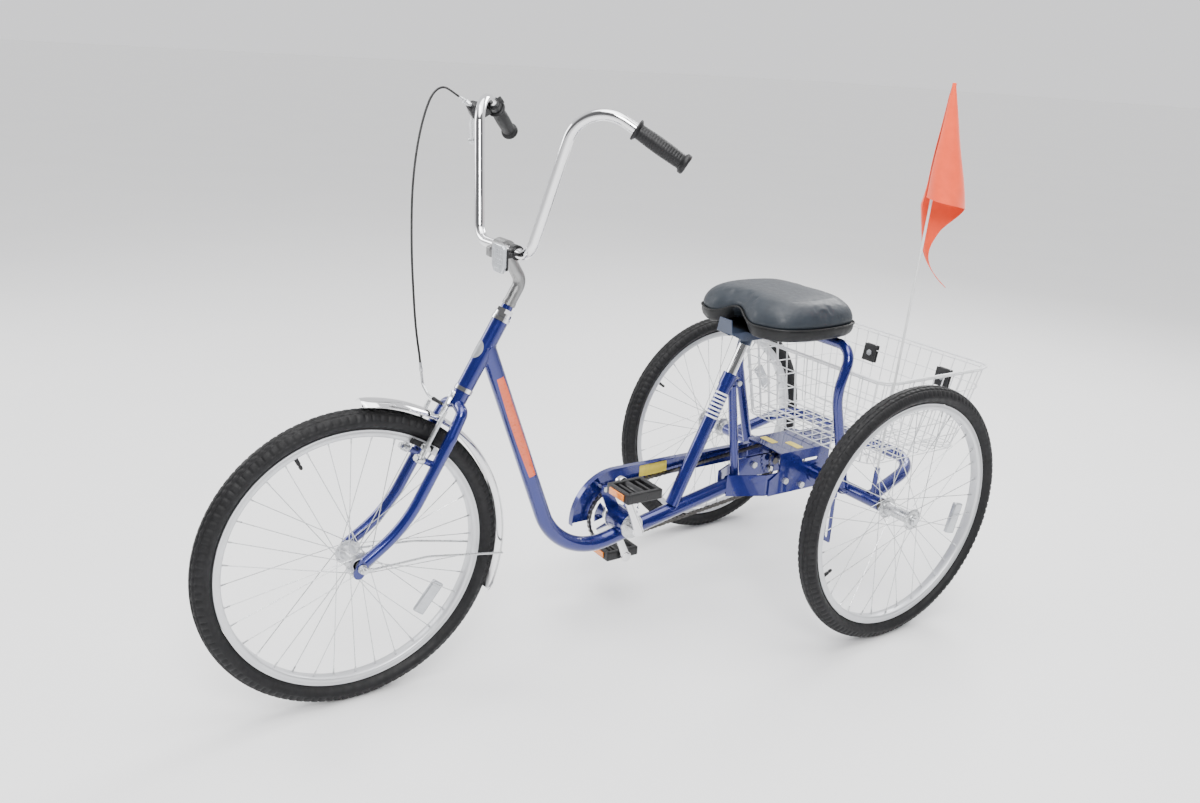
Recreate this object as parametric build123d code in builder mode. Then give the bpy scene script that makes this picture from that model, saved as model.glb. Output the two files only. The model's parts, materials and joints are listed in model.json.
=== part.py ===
from build123d import *
import os
from math import acos, asin, atan2, cos, degrees, pi, radians, sin, sqrt, tan

# Adult tricycle, millimetres. +X is the rider's left, -Y is forward, +Z is up. The origin lies
# on the ground under the middle of the overall box.
os.makedirs("parts", exist_ok=True)

# ---------------------------------------------------------------- driving dimensions
tyre_r = 327.0             # outside radius of a 26 inch tyre
tyre_width = 50.0
tyre_wall = 3.5
rim_flange_r = 285.5
rim_width = 27.0
rim_inner_r = 269.5
wheelbase = 1254.0
half_track = 362.8         # rear wheel plane to the middle
head_angle = 60.0          # head axis above the ground plane
fork_length = 400.0        # crown to the foot of the axle's normal
fork_rake = 45.5
spokes_per_side = 18
spoke_r = 1.0
nipple_r = 2.0

frame_tube_r = 19.0
tube_wall = 1.8
head_tube_r = 18.3
head_tube_length = 158.0
seat_tube_r = 17.0
seat_post_r = 12.7
bb_shell_r = 29.0
bb_half_width = 34.0
bb_height = 273.0

chain_pitch = 12.7
ring_teeth = 36
sprocket_teeth = 32
chain_links = 124
roller_r = 3.9
tooth_t = 2.2
tooth_above = 1.0          # tooth tips beyond the pitch circle
chain_x = -42.0
crank_length = 152.0
crank_angle = 24.0         # left arm, forward of straight up

axle_r = 7.5
axle_beyond = 49.2         # axle end beyond the wheel plane
housing_r = 17.5
housing_wall = 2.5
wheel_clear = 62.8         # housing end to the wheel plane
box_half = 66.0            # outer face of the carriage's side plates
plate = 4.0

bar_r = 11.1
grip_wall = 4.9
hoop_r = 12.7
loop_r = 16.0
pole_r = 3.0

basket_top_half = 275.0
basket_floor_half = 238.0
basket_front_top = -17.0   # from the rear axle, forward is negative
basket_rear_top = 390.0
basket_front_floor = 2.0
basket_rear_floor = 352.0
basket_floor_z = 402.3
basket_rim_z = 634.0
basket_wall = 3.0
basket_rim = 3.0           # how far the rim wire stands out of the wall

seat_half = 185.0
seat_length = 300.0
seat_middle = -145.0
seat_base_z = 727.0
seat_top_z = 818.0

fit = 0.05                 # radial running fit
seat_gap = 0.3             # between pieces that only rest on each other

# ---------------------------------------------------------------- places
grip_r = bar_r + grip_wall
axle_half = half_track + axle_beyond
housing_end = half_track - wheel_clear
basket_rear = basket_rear_top + basket_rim
rear_y = (wheelbase + tyre_r - basket_rear) / 2
front_y = rear_y - wheelbase
axle_z = tyre_r

up = Vector(0, cos(radians(head_angle)), sin(radians(head_angle)))
ahead = Vector(0, -sin(radians(head_angle)), cos(radians(head_angle)))
right_to_left = Vector(1, 0, 0)
front_axle = Vector(0, front_y, axle_z)
crown = front_axle + up * fork_length - ahead * fork_rake
head_low = crown + up * 22.0
head_high = head_low + up * head_tube_length

ring_r = chain_pitch * ring_teeth / (2 * pi)
sprocket_r = chain_pitch * sprocket_teeth / (2 * pi)


def spot(x, y, z):
    """A point whose y is measured from the rear axle."""
    return Vector(x, rear_y + y, z)


def fore(x, y, z):
    """A point whose y is measured from the front axle."""
    return Vector(x, front_y + y, z)


def steer(x, drop, reach=0.0):
    """A point of the fork: drop is down the head axis from the crown, reach is forward of it."""
    return crown - up * drop + ahead * reach + right_to_left * x


def chain_length(distance):
    lean = asin((ring_r - sprocket_r) / distance)
    runs = 2 * distance * cos(lean)
    return runs + ring_r * (pi + 2 * lean) + sprocket_r * (pi - 2 * lean)


def chain_centres():
    """Centre distance at which the whole number of links closes."""
    low, high = 300.0, 900.0
    for _ in range(60):
        middle = (low + high) / 2
        if chain_length(middle) < chain_links * chain_pitch:
            low = middle
        else:
            high = middle
    return low


centres = chain_centres()
bb_rise = axle_z - bb_height
bb_back = sqrt(centres ** 2 - bb_rise ** 2)
bb = spot(0, -bb_back, bb_height)

# ---------------------------------------------------------------- helpers


def finish(piece, name):
    piece.part.label = name
    export_step(piece.part, f"parts/{name}.step")


def pipe(points, bends, outer, inner=0.0):
    """A round tube along straight runs joined by tangent arcs; works inside a BuildPart."""
    with BuildLine() as path:
        if len(points) > 2:
            FilletPolyline(*points, radius=bends)
        else:
            Line(*points)
    start = path.line @ 0
    with BuildSketch(Plane(origin=start, z_dir=path.line % 0)) as ring:
        Circle(outer)
        if inner:
            Circle(inner, mode=Mode.SUBTRACT)
    sweep(ring.sketch, path=path.line)


def rod(start, end, radius, inner=0.0, mode=Mode.ADD):
    """A straight round bar between two points; works inside a BuildPart."""
    run = end - start
    with BuildSketch(Plane(origin=start, z_dir=run)) as ring:
        Circle(radius)
        if inner:
            Circle(inner, mode=Mode.SUBTRACT)
    extrude(ring.sketch, amount=run.length, mode=mode)


def disc(x, centre, radius, thickness, inner=0.0, mode=Mode.ADD):
    """A disc or ring across the bike, from x towards +X; works inside a BuildPart."""
    start = Vector(x, centre.Y, centre.Z)
    rod(start, start + Vector(thickness, 0, 0), radius, inner, mode)


def nut(start, direction, flats, height, bore=0.0):
    with BuildSketch(Plane(origin=start, z_dir=direction)) as hexagon:
        RegularPolygon(radius=flats / sqrt(3), side_count=6)
        if bore:
            Circle(bore, mode=Mode.SUBTRACT)
    extrude(hexagon.sketch, amount=height)


def side_plane(x):
    """A sketch plane across the bike at x: local x is forward to back, local y is up."""
    return Plane(origin=(x, rear_y, 0), x_dir=(0, 1, 0), z_dir=(1, 0, 0))


def wheel_plane(x, y):
    return Plane(origin=(x, y, axle_z), x_dir=(1, 0, 0), z_dir=(0, -1, 0))


# ---------------------------------------------------------------- wheels
bead_r = 277.0             # where the tyre sits in the rim
bead_out = 11.9
bead_in = 9.0


def make_tyre(name, x, y):
    half = tyre_width / 2
    fat = tyre_r - half
    inner = half - tyre_wall
    with BuildPart() as tyre:
        with BuildSketch(wheel_plane(x, y)):
            with BuildLine():
                Line((-bead_out, bead_r), (-bead_out, rim_flange_r + 1.2))
                ThreePointArc((-bead_out, rim_flange_r + 1.2), (-half + 4.6, fat - 10.5), (-half, fat))
                ThreePointArc((-half, fat), (0, tyre_r), (half, fat))
                ThreePointArc((half, fat), (half - 4.6, fat - 10.5), (bead_out, rim_flange_r + 1.2))
                Line((bead_out, rim_flange_r + 1.2), (bead_out, bead_r))
                Line((bead_out, bead_r), (bead_in, bead_r))
                Line((bead_in, bead_r), (bead_in, rim_flange_r + 3.0))
                ThreePointArc((bead_in, rim_flange_r + 3.0), (inner - 3.6, fat - 7.5), (inner, fat))
                ThreePointArc((inner, fat), (0, tyre_r - tyre_wall), (-inner, fat))
                ThreePointArc((-inner, fat), (-inner + 3.6, fat - 7.5), (-bead_in, rim_flange_r + 3.0))
                Line((-bead_in, rim_flange_r + 3.0), (-bead_in, bead_r))
                Line((-bead_in, bead_r), (-bead_out, bead_r))
            make_face()
        revolve(axis=Axis((x, y, axle_z), (1, 0, 0)))
    finish(tyre, name)


def make_rim(name, x, y, valve_angle):
    """A box-section rim with the valve stem standing through it."""
    half = rim_width / 2
    groove = bead_out + 0.2
    with BuildPart() as rim:
        with BuildSketch(wheel_plane(x, y)):
            with BuildLine():
                Polyline(
                    (-half, rim_flange_r), (-groove, rim_flange_r), (-groove, bead_r),
                    (-bead_in + 1, bead_r), (-bead_in + 2.5, bead_r - 2.5), (bead_in - 2.5, bead_r - 2.5),
                    (bead_in - 1, bead_r), (groove, bead_r), (groove, rim_flange_r), (half, rim_flange_r),
                    (half, rim_inner_r + 3.0), (half - 3.5, rim_inner_r), (-half + 3.5, rim_inner_r),
                    (-half, rim_inner_r + 3.0), (-half, rim_flange_r),
                )
            make_face()
        revolve(axis=Axis((x, y, axle_z), (1, 0, 0)))
        outward = Vector(0, cos(radians(valve_angle)), sin(radians(valve_angle)))
        hub = Vector(x, y, axle_z)
        rod(hub + outward * (rim_inner_r - 32), hub + outward * (rim_inner_r + 2), 3.0)
        rod(hub + outward * (rim_inner_r - 12), hub + outward * (rim_inner_r + 2), 4.2)
    finish(rim, name)


flange_r = 27.0
flange_t = 3.0
hole_r = 22.5              # circle of the spoke holes
spoke_side = flange_t / 2 + spoke_r + seat_gap
spoke_lean = 1.2           # extra standoff of the outer spokes, which lean in over the flange


def make_spokes(name, x, y, flange_low, flange_high):
    """Three-cross lacing: each spoke leaves its flange sideways and lands 60 degrees further on."""
    with BuildPart() as spokes:
        for flange, first, side in ((flange_low, 0.0, -1), (flange_high, 10.0, 1)):
            for k in range(spokes_per_side):
                way = 1 if k % 2 == 0 else -1
                hub_angle = radians(first + k * 360.0 / spokes_per_side)
                rim_angle = hub_angle + way * radians(60)
                stand = spoke_side + spoke_lean if way > 0 else -spoke_side
                start = Vector(x + flange + side * stand, y + hole_r * cos(hub_angle),
                               axle_z + hole_r * sin(hub_angle))
                reach = rim_inner_r - seat_gap
                end = Vector(x + side * 3.0, y + reach * cos(rim_angle), axle_z + reach * sin(rim_angle))
                along = (end - start).normalized()
                rod(start, end, spoke_r)
                rod(end - along * 13.0, end - along * 0.2, nipple_r)
    finish(spokes, name)


def make_hub(name, x, y, flange_low, flange_high, barrel_r, bore, seat=0.0, seat_depth=0.0, ends=4.0):
    with BuildPart() as hub:
        centre = Vector(x, y, axle_z)
        low = x + flange_low - ends
        high = x + flange_high + ends
        disc(low, centre, barrel_r, high - low)
        for flange in (flange_low, flange_high):
            disc(x + flange - flange_t / 2, centre, flange_r, flange_t)
        disc(low, centre, bore, high - low, mode=Mode.SUBTRACT)
        if seat:
            disc(low, centre, seat, seat_depth, mode=Mode.SUBTRACT)
            disc(high - seat_depth, centre, seat, seat_depth, mode=Mode.SUBTRACT)
    finish(hub, name)


def make_wheel_reflector(name, x, y, angle, half_thickness):
    """A flat reflector that lies across the wheel, held between the two layers of spokes."""
    outward = Vector(0, cos(radians(angle)), sin(radians(angle)))
    centre = Vector(x, y, axle_z) + outward * 215.0
    with BuildPart() as reflector:
        with BuildSketch(Plane(origin=centre - Vector(half_thickness, 0, 0), x_dir=outward, z_dir=(1, 0, 0))):
            SlotOverall(82, 30, rotation=90)
        extrude(amount=2 * half_thickness)
    finish(reflector, name)


front_flanges = (-32.0, 32.0)
left_flanges = (-42.0, 37.0)
right_flanges = (-37.0, 42.0)
front_barrel_r = 15.0
rear_barrel_r = 17.0
bearing_depth = 9.0
bearing_seat_r = 13.0

make_tyre("front_tyre", 0, front_y)
make_rim("front_rim", 0, front_y, 115)
make_spokes("front_spokes", 0, front_y, *front_flanges)
make_hub("front_hub", 0, front_y, *front_flanges, front_barrel_r, 9.0, bearing_seat_r, bearing_depth)
make_wheel_reflector("front_wheel_reflector", 0, front_y, -38, 5.3)

make_tyre("left_tyre", half_track, rear_y)
make_rim("left_rim", half_track, rear_y, 205)
make_spokes("left_spokes", half_track, rear_y, *left_flanges)
make_hub("left_hub", half_track, rear_y, *left_flanges, rear_barrel_r, 10.0, bearing_seat_r, 14.0)
make_wheel_reflector("left_wheel_reflector", half_track, rear_y, -14, 6.9)

make_tyre("right_tyre", -half_track, rear_y)
make_rim("right_rim", -half_track, rear_y, 145)
make_spokes("right_spokes", -half_track, rear_y, *right_flanges)
make_hub("right_hub", -half_track, rear_y, *right_flanges, rear_barrel_r, axle_r + 0.02)
make_wheel_reflector("right_wheel_reflector", -half_track, rear_y, 35, 6.1)

front_axle_r = 4.75
with BuildPart() as front_bearings:
    for low in (front_flanges[0] - 4.0, front_flanges[1] + 4.0 - bearing_depth):
        disc(low, front_axle, bearing_seat_r, bearing_depth, front_axle_r + fit)
finish(front_bearings, "front_bearings")

rear_centre = Vector(0, rear_y, axle_z)
with BuildPart() as left_bushings:
    for low in (half_track + left_flanges[0] - 4.0, half_track + left_flanges[1] + 4.0 - 14.0):
        disc(low, rear_centre, bearing_seat_r, 14.0, axle_r + fit)
finish(left_bushings, "left_bushings")

# ---------------------------------------------------------------- drive axle and sprocket
hub_outer = half_track + left_flanges[1] + 4.0
nut_height = 5.0
with BuildPart() as rear_axle:
    disc(-axle_half, rear_centre, axle_r, 2 * axle_half)
    for side in (-1, 1):
        inner_face = Vector(side * (hub_outer + seat_gap), rear_y, axle_z)
        nut(inner_face, (side, 0, 0), 24.0, nut_height, axle_r)
    for x in (-box_half + plate + 1.0, box_half - plate - 9.0):
        disc(x, rear_centre, 13.0, 8.0, axle_r)
finish(rear_axle, "rear_axle_and_nuts")


def toothed_disc(x, centre, teeth, pitch_r, thickness, phase):
    """A sprocket blank with one round seat per tooth gap; works inside a BuildPart."""
    with BuildSketch(Plane(origin=(x, centre.Y, centre.Z), x_dir=(0, 1, 0), z_dir=(1, 0, 0))) as blank:
        Circle(pitch_r + tooth_above)
        with PolarLocations(pitch_r, teeth, start_angle=phase):
            Circle(roller_r + 0.35, mode=Mode.SUBTRACT)
    extrude(blank.sketch, amount=thickness)


# The chain leaves each sprocket where the straight run is tangent. Links are counted from the
# point where the upper run leaves the ring.
lean = asin((ring_r - sprocket_r) / centres)
tilt = atan2(bb_rise, bb_back)
upper_normal = pi / 2 + tilt - lean
run_length = centres * cos(lean)


def chain_point(distance):
    """A point on the chain's pitch line, in local y and z, after so many millimetres of chain."""
    ring_arc = ring_r * (pi + 2 * lean)
    sprocket_arc = sprocket_r * (pi - 2 * lean)
    first = Vector(-bb_back + ring_r * cos(upper_normal), bb_height + ring_r * sin(upper_normal))
    back = Vector(sin(upper_normal), -cos(upper_normal))
    if distance < run_length:
        return first + back * distance
    distance -= run_length
    if distance < sprocket_arc:
        angle = upper_normal - distance / sprocket_r
        return Vector(sprocket_r * cos(angle), axle_z + sprocket_r * sin(angle))
    distance -= sprocket_arc
    lower_normal = upper_normal - (pi - 2 * lean)
    if distance < run_length:
        start = Vector(sprocket_r * cos(lower_normal), axle_z + sprocket_r * sin(lower_normal))
        ahead_run = Vector(sin(lower_normal), -cos(lower_normal))
        return start + ahead_run * distance
    distance -= run_length
    angle = lower_normal - distance / ring_r
    return Vector(-bb_back + ring_r * cos(angle), bb_height + ring_r * sin(angle))


# Each sprocket is turned so that a tooth gap meets the first link on its arc.
sprocket_step = (-run_length) % chain_pitch
sprocket_phase = degrees(upper_normal - sprocket_step / sprocket_r)
ring_phase = degrees(upper_normal)

with BuildPart() as rear_sprocket:
    toothed_disc(chain_x - tooth_t / 2, rear_centre, sprocket_teeth, sprocket_r, tooth_t, sprocket_phase)
    disc(chain_x - 8.0, rear_centre, 26.0, 16.0)
    with BuildSketch(side_plane(chain_x - 20)):
        with Locations((0, axle_z)):
            Circle(axle_r + 0.02)
            with PolarLocations(42.0, 6):
                Circle(9.0)
    extrude(amount=40, mode=Mode.SUBTRACT)
finish(rear_sprocket, "rear_sprocket")

link_plate_t = 1.1
link_plate_h = 4.2
roller_half = 2.4


def band(offset):
    """The chain's closed outline, as a face, at an offset from its pitch line."""
    big = ring_r + offset
    small = sprocket_r + offset
    lower = upper_normal - (pi - 2 * lean)
    ring_at = Vector(-bb_back, bb_height)
    gear_at = Vector(0, axle_z)

    def on(centre, radius, angle):
        return centre + Vector(radius * cos(angle), radius * sin(angle))

    middle = (upper_normal + lower) / 2
    with BuildSketch() as outline:
        with BuildLine():
            Line(on(ring_at, big, upper_normal), on(gear_at, small, upper_normal))
            ThreePointArc(on(gear_at, small, upper_normal), on(gear_at, small, middle),
                          on(gear_at, small, lower))
            Line(on(gear_at, small, lower), on(ring_at, big, lower))
            ThreePointArc(on(ring_at, big, lower), on(ring_at, big, middle + pi),
                          on(ring_at, big, upper_normal))
        make_face()
    return outline.sketch


with BuildPart() as chain:
    with BuildSketch(side_plane(chain_x - roller_half)):
        for link in range(chain_links):
            place = chain_point(link * chain_pitch)
            with Locations((place.X, place.Y)):
                Circle(roller_r)
    extrude(amount=2 * roller_half)
    for low in (chain_x - roller_half - link_plate_t, chain_x + roller_half):
        with BuildSketch(side_plane(low)):
            add(band(link_plate_h))
            add(band(-link_plate_h), mode=Mode.SUBTRACT)
        extrude(amount=link_plate_t)
finish(chain, "chain")

# ---------------------------------------------------------------- crankset and pedals
crank_way = Vector(0, -sin(radians(crank_angle)), cos(radians(crank_angle)))
arm_in = 60.0
arm_t = 12.0
spindle_r = 9.0
spindle_side = arm_in + arm_t
pedal_in = arm_in + arm_t + 6.0
pedal_length = 92.0
spindle_pin_r = 6.0

with BuildPart() as crank:
    disc(-arm_in, bb, spindle_r, 2 * arm_in)
    for side in (-1, 1):
        root = Vector(side * (bb_half_width + 4.5), bb.Y, bb.Z)
        rod(root, Vector(side * arm_in, bb.Y, bb.Z), 14.0)
        way = crank_way * side
        with BuildSketch(Plane(origin=(side * arm_in, bb.Y, bb.Z), x_dir=way, z_dir=(side, 0, 0))):
            with Locations((crank_length / 2, 0)):
                SlotCenterToCenter(crank_length, 27.0)
        extrude(amount=arm_t)
        eye = bb + way * crank_length
        rod(Vector(side * arm_in, eye.Y, eye.Z), Vector(side * (spindle_side + 3.0), eye.Y, eye.Z), 14.5)
finish(crank, "crank")

with BuildPart() as pedal_spindles:
    for side in (-1, 1):
        eye = bb + crank_way * side * crank_length
        start = Vector(side * (spindle_side + 3.0), eye.Y, eye.Z)
        rod(start, start + Vector(side * (pedal_length - 8.0), 0, 0), spindle_pin_r)
finish(pedal_spindles, "pedal_spindles")

with BuildPart() as chainring:
    toothed_disc(chain_x - tooth_t / 2, bb, ring_teeth, ring_r, tooth_t, ring_phase)
    with BuildSketch(side_plane(chain_x - 20)):
        with Locations((-bb_back, bb_height)):
            Circle(14.0 + 0.02)
            with PolarLocations(44.0, 5, start_angle=90):
                Circle(15.0)
    extrude(amount=40, mode=Mode.SUBTRACT)
finish(chainring, "chainring")


def make_pedal(name, side):
    """A cage pedal: an open frame of four bars round a centre barrel, lying level on its spindle."""
    eye = bb + crank_way * side * crank_length
    inner = side * pedal_in
    cage_length = 96.0
    cage_h = 24.0
    bar_t = 12.0
    facing = Plane(origin=(inner, eye.Y, eye.Z), x_dir=(0, 1, 0), z_dir=(side, 0, 0))
    width = pedal_length - 6.0
    with BuildPart() as pedal:
        with BuildSketch(facing):
            RectangleRounded(cage_length, cage_h, 5)
        extrude(amount=width)
        with BuildSketch(facing.offset(bar_t)):
            Rectangle(cage_length - 2 * bar_t, cage_h + 2)
        extrude(amount=width - 2 * bar_t, mode=Mode.SUBTRACT)
        with BuildSketch(facing):
            Circle(11.0)
        extrude(amount=width)
        with BuildSketch(facing.offset(-1)):
            Circle(spindle_pin_r + fit)
        extrude(amount=width + 2, mode=Mode.SUBTRACT)
        for way in (-1, 1):
            face = Vector(inner + side * width / 2, eye.Y + way * (cage_length / 2 + seat_gap), eye.Z)
            with BuildSketch(Plane(origin=face, x_dir=(1, 0, 0), z_dir=(0, way, 0))):
                RectangleRounded(56, 16, 2)
            extrude(amount=4.0)
    finish(pedal, name)


make_pedal("pedal_left", 1)
make_pedal("pedal_right", -1)


# ---------------------------------------------------------------- welded main frame
tube_top = fore(0, 299.0, 756.0)
tube_dip = fore(0, 501.0, 208.0)
tube_end = spot(0, -214.0, 315.0)
seat_foot = spot(0, -421.0, 296.0)
seat_way = Vector(0, 0.4265, 0.9045)
seat_tube_length = 352.0
seat_head = seat_foot + seat_way * seat_tube_length
guard_t = 1.5
guard_clear = 1.5          # guard to the crank arm
guard_bolt = spot(0, -bb_back - 38.0, 352.0)
boss_reach = 149.0          # brake pivots, down the head axis from the crown
yoke_low = 288.0
yoke_high = 345.0
yoke_straight = -168.0      # where the yoke's plates stop bending
bolt_spots = ((-107.0, 322.0), (-48.0, 301.0))

with BuildPart() as main_frame:
    pipe([tube_top, tube_dip, tube_end], [162.0], frame_tube_r)
    rod(head_low, head_high, head_tube_r)
    rod(spot(0, -238, 311.5), spot(0, -214, 316), frame_tube_r + 3.5)
    rod(seat_foot - seat_way * 8, seat_head, seat_tube_r)
    rod(seat_head - seat_way * 34, seat_head, seat_tube_r + 2.0)
    with BuildSketch(Plane(origin=(-7, rear_y, 0), x_dir=(0, 1, 0), z_dir=(1, 0, 0))):
        with Locations((seat_head.Y - rear_y + 16.0, seat_head.Z - 26.0)):
            RectangleRounded(34, 24, 5)
    extrude(amount=14)
    rod(spot(0, -262, 582), spot(0, -222, 326), 11.5)
    disc(-bb_half_width, bb, bb_shell_r, 2 * bb_half_width)
    with BuildSketch(side_plane(-bb_half_width)):
        with BuildLine():
            Polyline(
                (-bb_back - 22, bb_height + 8), (-bb_back - 50, 346), (-bb_back - 46, 362),
                (-bb_back - 28, 362), (-bb_back + 14, bb_height + 12), (-bb_back - 22, bb_height + 8),
            )
        make_face()
    extrude(amount=plate)
    for side in (-1, 1):
        inner = 15.0
        outer = box_half - plate
        with BuildSketch(Plane(origin=(0, rear_y, yoke_low))):
            with BuildLine():
                Polyline(
                    (side * inner, -262), (side * (outer - plate), yoke_straight), (side * (outer - plate), -30),
                    (side * outer, -30), (side * outer, yoke_straight - 2), (side * (inner + plate), -264),
                    (side * inner, -262),
                )
            make_face()
        extrude(amount=yoke_high - yoke_low)
    with BuildSketch(side_plane(-box_half)):
        for y, z in bolt_spots:
            with Locations((y, z)):
                Circle(5.2)
    extrude(amount=2 * box_half, mode=Mode.SUBTRACT)
    rod(head_low - up * 5, head_high + up * 5, head_tube_r - 2.8, mode=Mode.SUBTRACT)
    rod(seat_foot + seat_way * 40, seat_head + seat_way * 5, seat_post_r + 0.02, mode=Mode.SUBTRACT)
    disc(-bb_half_width - 1, bb, bb_shell_r - 3.5, 2 * bb_half_width + 2, mode=Mode.SUBTRACT)
finish(main_frame, "main_frame")

with BuildPart() as bb_cups:
    for side in (-1, 1):
        face = Vector(side * bb_half_width, bb.Y, bb.Z)
        outward = Vector(side, 0, 0)
        rod(face, face + outward * 4.0, 30.5, spindle_r + 0.5)
        rod(face - outward * 12.0, face, bb_shell_r - 3.5, spindle_r + fit)
finish(bb_cups, "bb_cups")

cup_r = 20.5
with BuildPart() as headset_cups:
    for end, way in ((head_low, up * -1), (head_high, up)):
        rod(end, end + way * 9.0, cup_r, 13.4)
        rod(end - way * 10.0, end, head_tube_r - 2.8, 13.4)
finish(headset_cups, "headset_cups")

with BuildPart() as seat_post:
    rod(seat_foot + seat_way * 150, seat_foot + seat_way * 452, seat_post_r, seat_post_r - 1.6)
finish(seat_post, "seat_post")
post_top = seat_foot + seat_way * 452

# ---------------------------------------------------------------- fork and headset
steerer_r = 12.7
quill_r = 11.0
blade_r = 12.5
blade_x = 48.0
dropout_x = 50.0
steerer_top = head_tube_length + 22.0 + 36.0
arm_reach = 38.0            # brake arms stand this far forward of the head axis
arm_length = 113.0
pad_drop = 123.0
pad_gap = 1.5
arm_x = 40.0

with BuildPart() as fork:
    rod(steer(0, 14), steer(0, -steerer_top), steerer_r)
    rod(steer(0, 20), steer(0, -10), 18.0)
    rod(steer(0, -10), steer(0, -12.7), 19.5)
    for side in (-1, 1):
        pipe(
            [steer(0, 14), steer(side * 40, 26), steer(side * blade_x, 86), steer(side * dropout_x, 290),
             steer(side * dropout_x, 386, fork_rake)],
            [14.0, 60.0, 300.0], blade_r,
        )
        with BuildSketch(Plane(origin=steer(side * dropout_x - 2.5, fork_length, fork_rake),
                               x_dir=up * -1, z_dir=(1, 0, 0))):
            SlotCenterToCenter(26, 24)
        extrude(amount=5.0)
        rod(steer(side * arm_x, boss_reach, 6), steer(side * arm_x, boss_reach, 30), 7.0)
        rod(steer(side * arm_x, boss_reach, 30), steer(side * arm_x, boss_reach, 47), 4.0)
    disc(-60, front_axle, front_axle_r + 0.02, 120, mode=Mode.SUBTRACT)
    rod(steer(0, -40), steer(0, -steerer_top - 5), quill_r + 0.02, mode=Mode.SUBTRACT)
finish(fork, "fork")

with BuildPart() as headset_races:
    top = head_tube_length + 22.0 + 9.0
    rod(steer(0, -top - 0.6), steer(0, -top - 9.0), 19.0, steerer_r)
    nut(steer(0, -top - 9.0), up, 34.0, 9.0, steerer_r)
finish(headset_races, "headset_races")

# ---------------------------------------------------------------- stem, handlebar and grips
stem_bend = steer(0, -275.0)
bar_centre = fore(0, 333.0, 961.0)
clamp_half = 19.0
bar_low = 108.0
bar_high = fore(210.0, 377.0, 1282.0)
bar_tip = fore(339.0, 524.0, 1166.0)

with BuildPart() as stem:
    rod(steer(0, -120), steer(0, -226), quill_r)
    pipe([steer(0, -226), stem_bend, bar_centre], [28.0], 13.5)
    rod(steer(0, -217), steer(0, -226), 14.5)
    disc(-clamp_half, bar_centre, 19.0, 2 * clamp_half)
    with BuildSketch(Plane(origin=(-7, bar_centre.Y, bar_centre.Z), x_dir=(0, 1, 0), z_dir=(1, 0, 0))):
        with Locations((-24, -6)):
            RectangleRounded(24, 22, 4)
    extrude(amount=14)
    disc(-clamp_half - 1, bar_centre, bar_r + 0.02, 2 * clamp_half + 2, mode=Mode.SUBTRACT)
finish(stem, "stem")


def mirrored(point):
    return Vector(-point.X, point.Y, point.Z)


low_left = Vector(bar_low, bar_centre.Y, bar_centre.Z)
grip_way = (bar_tip - bar_high).normalized()

with BuildPart() as handlebar:
    pipe(
        [bar_tip - grip_way * 2, bar_high, low_left, mirrored(low_left), mirrored(bar_high),
         mirrored(bar_tip - grip_way * 2)],
        [74.0, 45.0, 45.0, 74.0], bar_r, bar_r - 1.7,
    )
finish(handlebar, "handlebar")

grip_start = 116.0
grip_length = (bar_tip - bar_high).length + 4.0 - grip_start


def make_grip(name, side):
    corner = bar_high if side > 0 else mirrored(bar_high)
    way = Vector(grip_way.X * side, grip_way.Y, grip_way.Z)
    start = corner + way * grip_start
    end = start + way * grip_length
    with BuildPart() as grip:
        rod(start, end, grip_r)
        rod(start, start + way * 5.0, 21.0)
        rod(end - way * 11.0, end, 20.0)
        rod(start - way, end - way * 5.8, bar_r + 0.02, mode=Mode.SUBTRACT)
    finish(grip, name)


make_grip("grip_left", 1)
make_grip("grip_right", -1)

# ---------------------------------------------------------------- brake lever (rider's right)
right_corner = mirrored(bar_high)
lever_way = Vector(-grip_way.X, grip_way.Y, grip_way.Z)
forward_down = Vector(0, -0.958, -0.287)
lever_out = (forward_down - lever_way * forward_down.dot(lever_way)).normalized()
lever_axis = lever_out.cross(lever_way).normalized()
perch_at = right_corner + lever_way * 104.0
pivot_out = 42.0            # lever pin, out from the bar and along it
pivot_along = -30.0
pivot_r = 3.0


def lever_spot(out, along, across=0.0):
    return perch_at + lever_out * out + lever_way * along + lever_axis * across


barrel_root = lever_spot(44, -49)
barrel_end = lever_spot(52, -75, -8)

with BuildPart() as lever_perch:
    rod(lever_spot(0, -8), lever_spot(0, 8), 16.0)
    with BuildSketch(Plane(origin=lever_spot(0, 0, -10), x_dir=lever_out, z_dir=lever_axis)):
        with BuildLine():
            Polyline((14, -8), (36, -52), (54, -50), (57, -14), (32, 8), (14, 8), (14, -8))
        make_face()
    extrude(amount=20)
    with BuildSketch(Plane(origin=lever_spot(0, 0, -4.6), x_dir=lever_out, z_dir=lever_axis)):
        with BuildLine():
            Polyline((27, -44), (66, -44), (66, 14), (27, 14), (27, -44))
        make_face()
    extrude(amount=9.2, mode=Mode.SUBTRACT)
    rod(lever_spot(pivot_out, pivot_along, -11.5), lever_spot(pivot_out, pivot_along, 11.5), pivot_r)
    rod(barrel_root, barrel_end, 5.0)
    rod(lever_spot(0, -12), lever_spot(0, 12), bar_r + 0.02, mode=Mode.SUBTRACT)
finish(lever_perch, "lever_perch")

with BuildPart() as brake_lever:
    with BuildSketch(Plane(origin=lever_spot(0, 0, -4.2), x_dir=lever_out, z_dir=lever_axis)):
        with BuildLine():
            Polyline((35, -38), (47, -38), (66, -12), (76, 18), (89, 58), (81, 62), (68, 22), (56, -4),
                     (38, -22), (35, -38))
        make_face()
    extrude(amount=8.4)
    with BuildSketch(Plane(origin=lever_spot(0, 0, -6), x_dir=lever_out, z_dir=lever_axis)):
        with Locations((85, 62)):
            Circle(9)
    extrude(amount=12)
    rod(lever_spot(pivot_out, pivot_along, -6), lever_spot(pivot_out, pivot_along, 6), pivot_r + fit,
        mode=Mode.SUBTRACT)
finish(brake_lever, "brake_lever")

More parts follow.
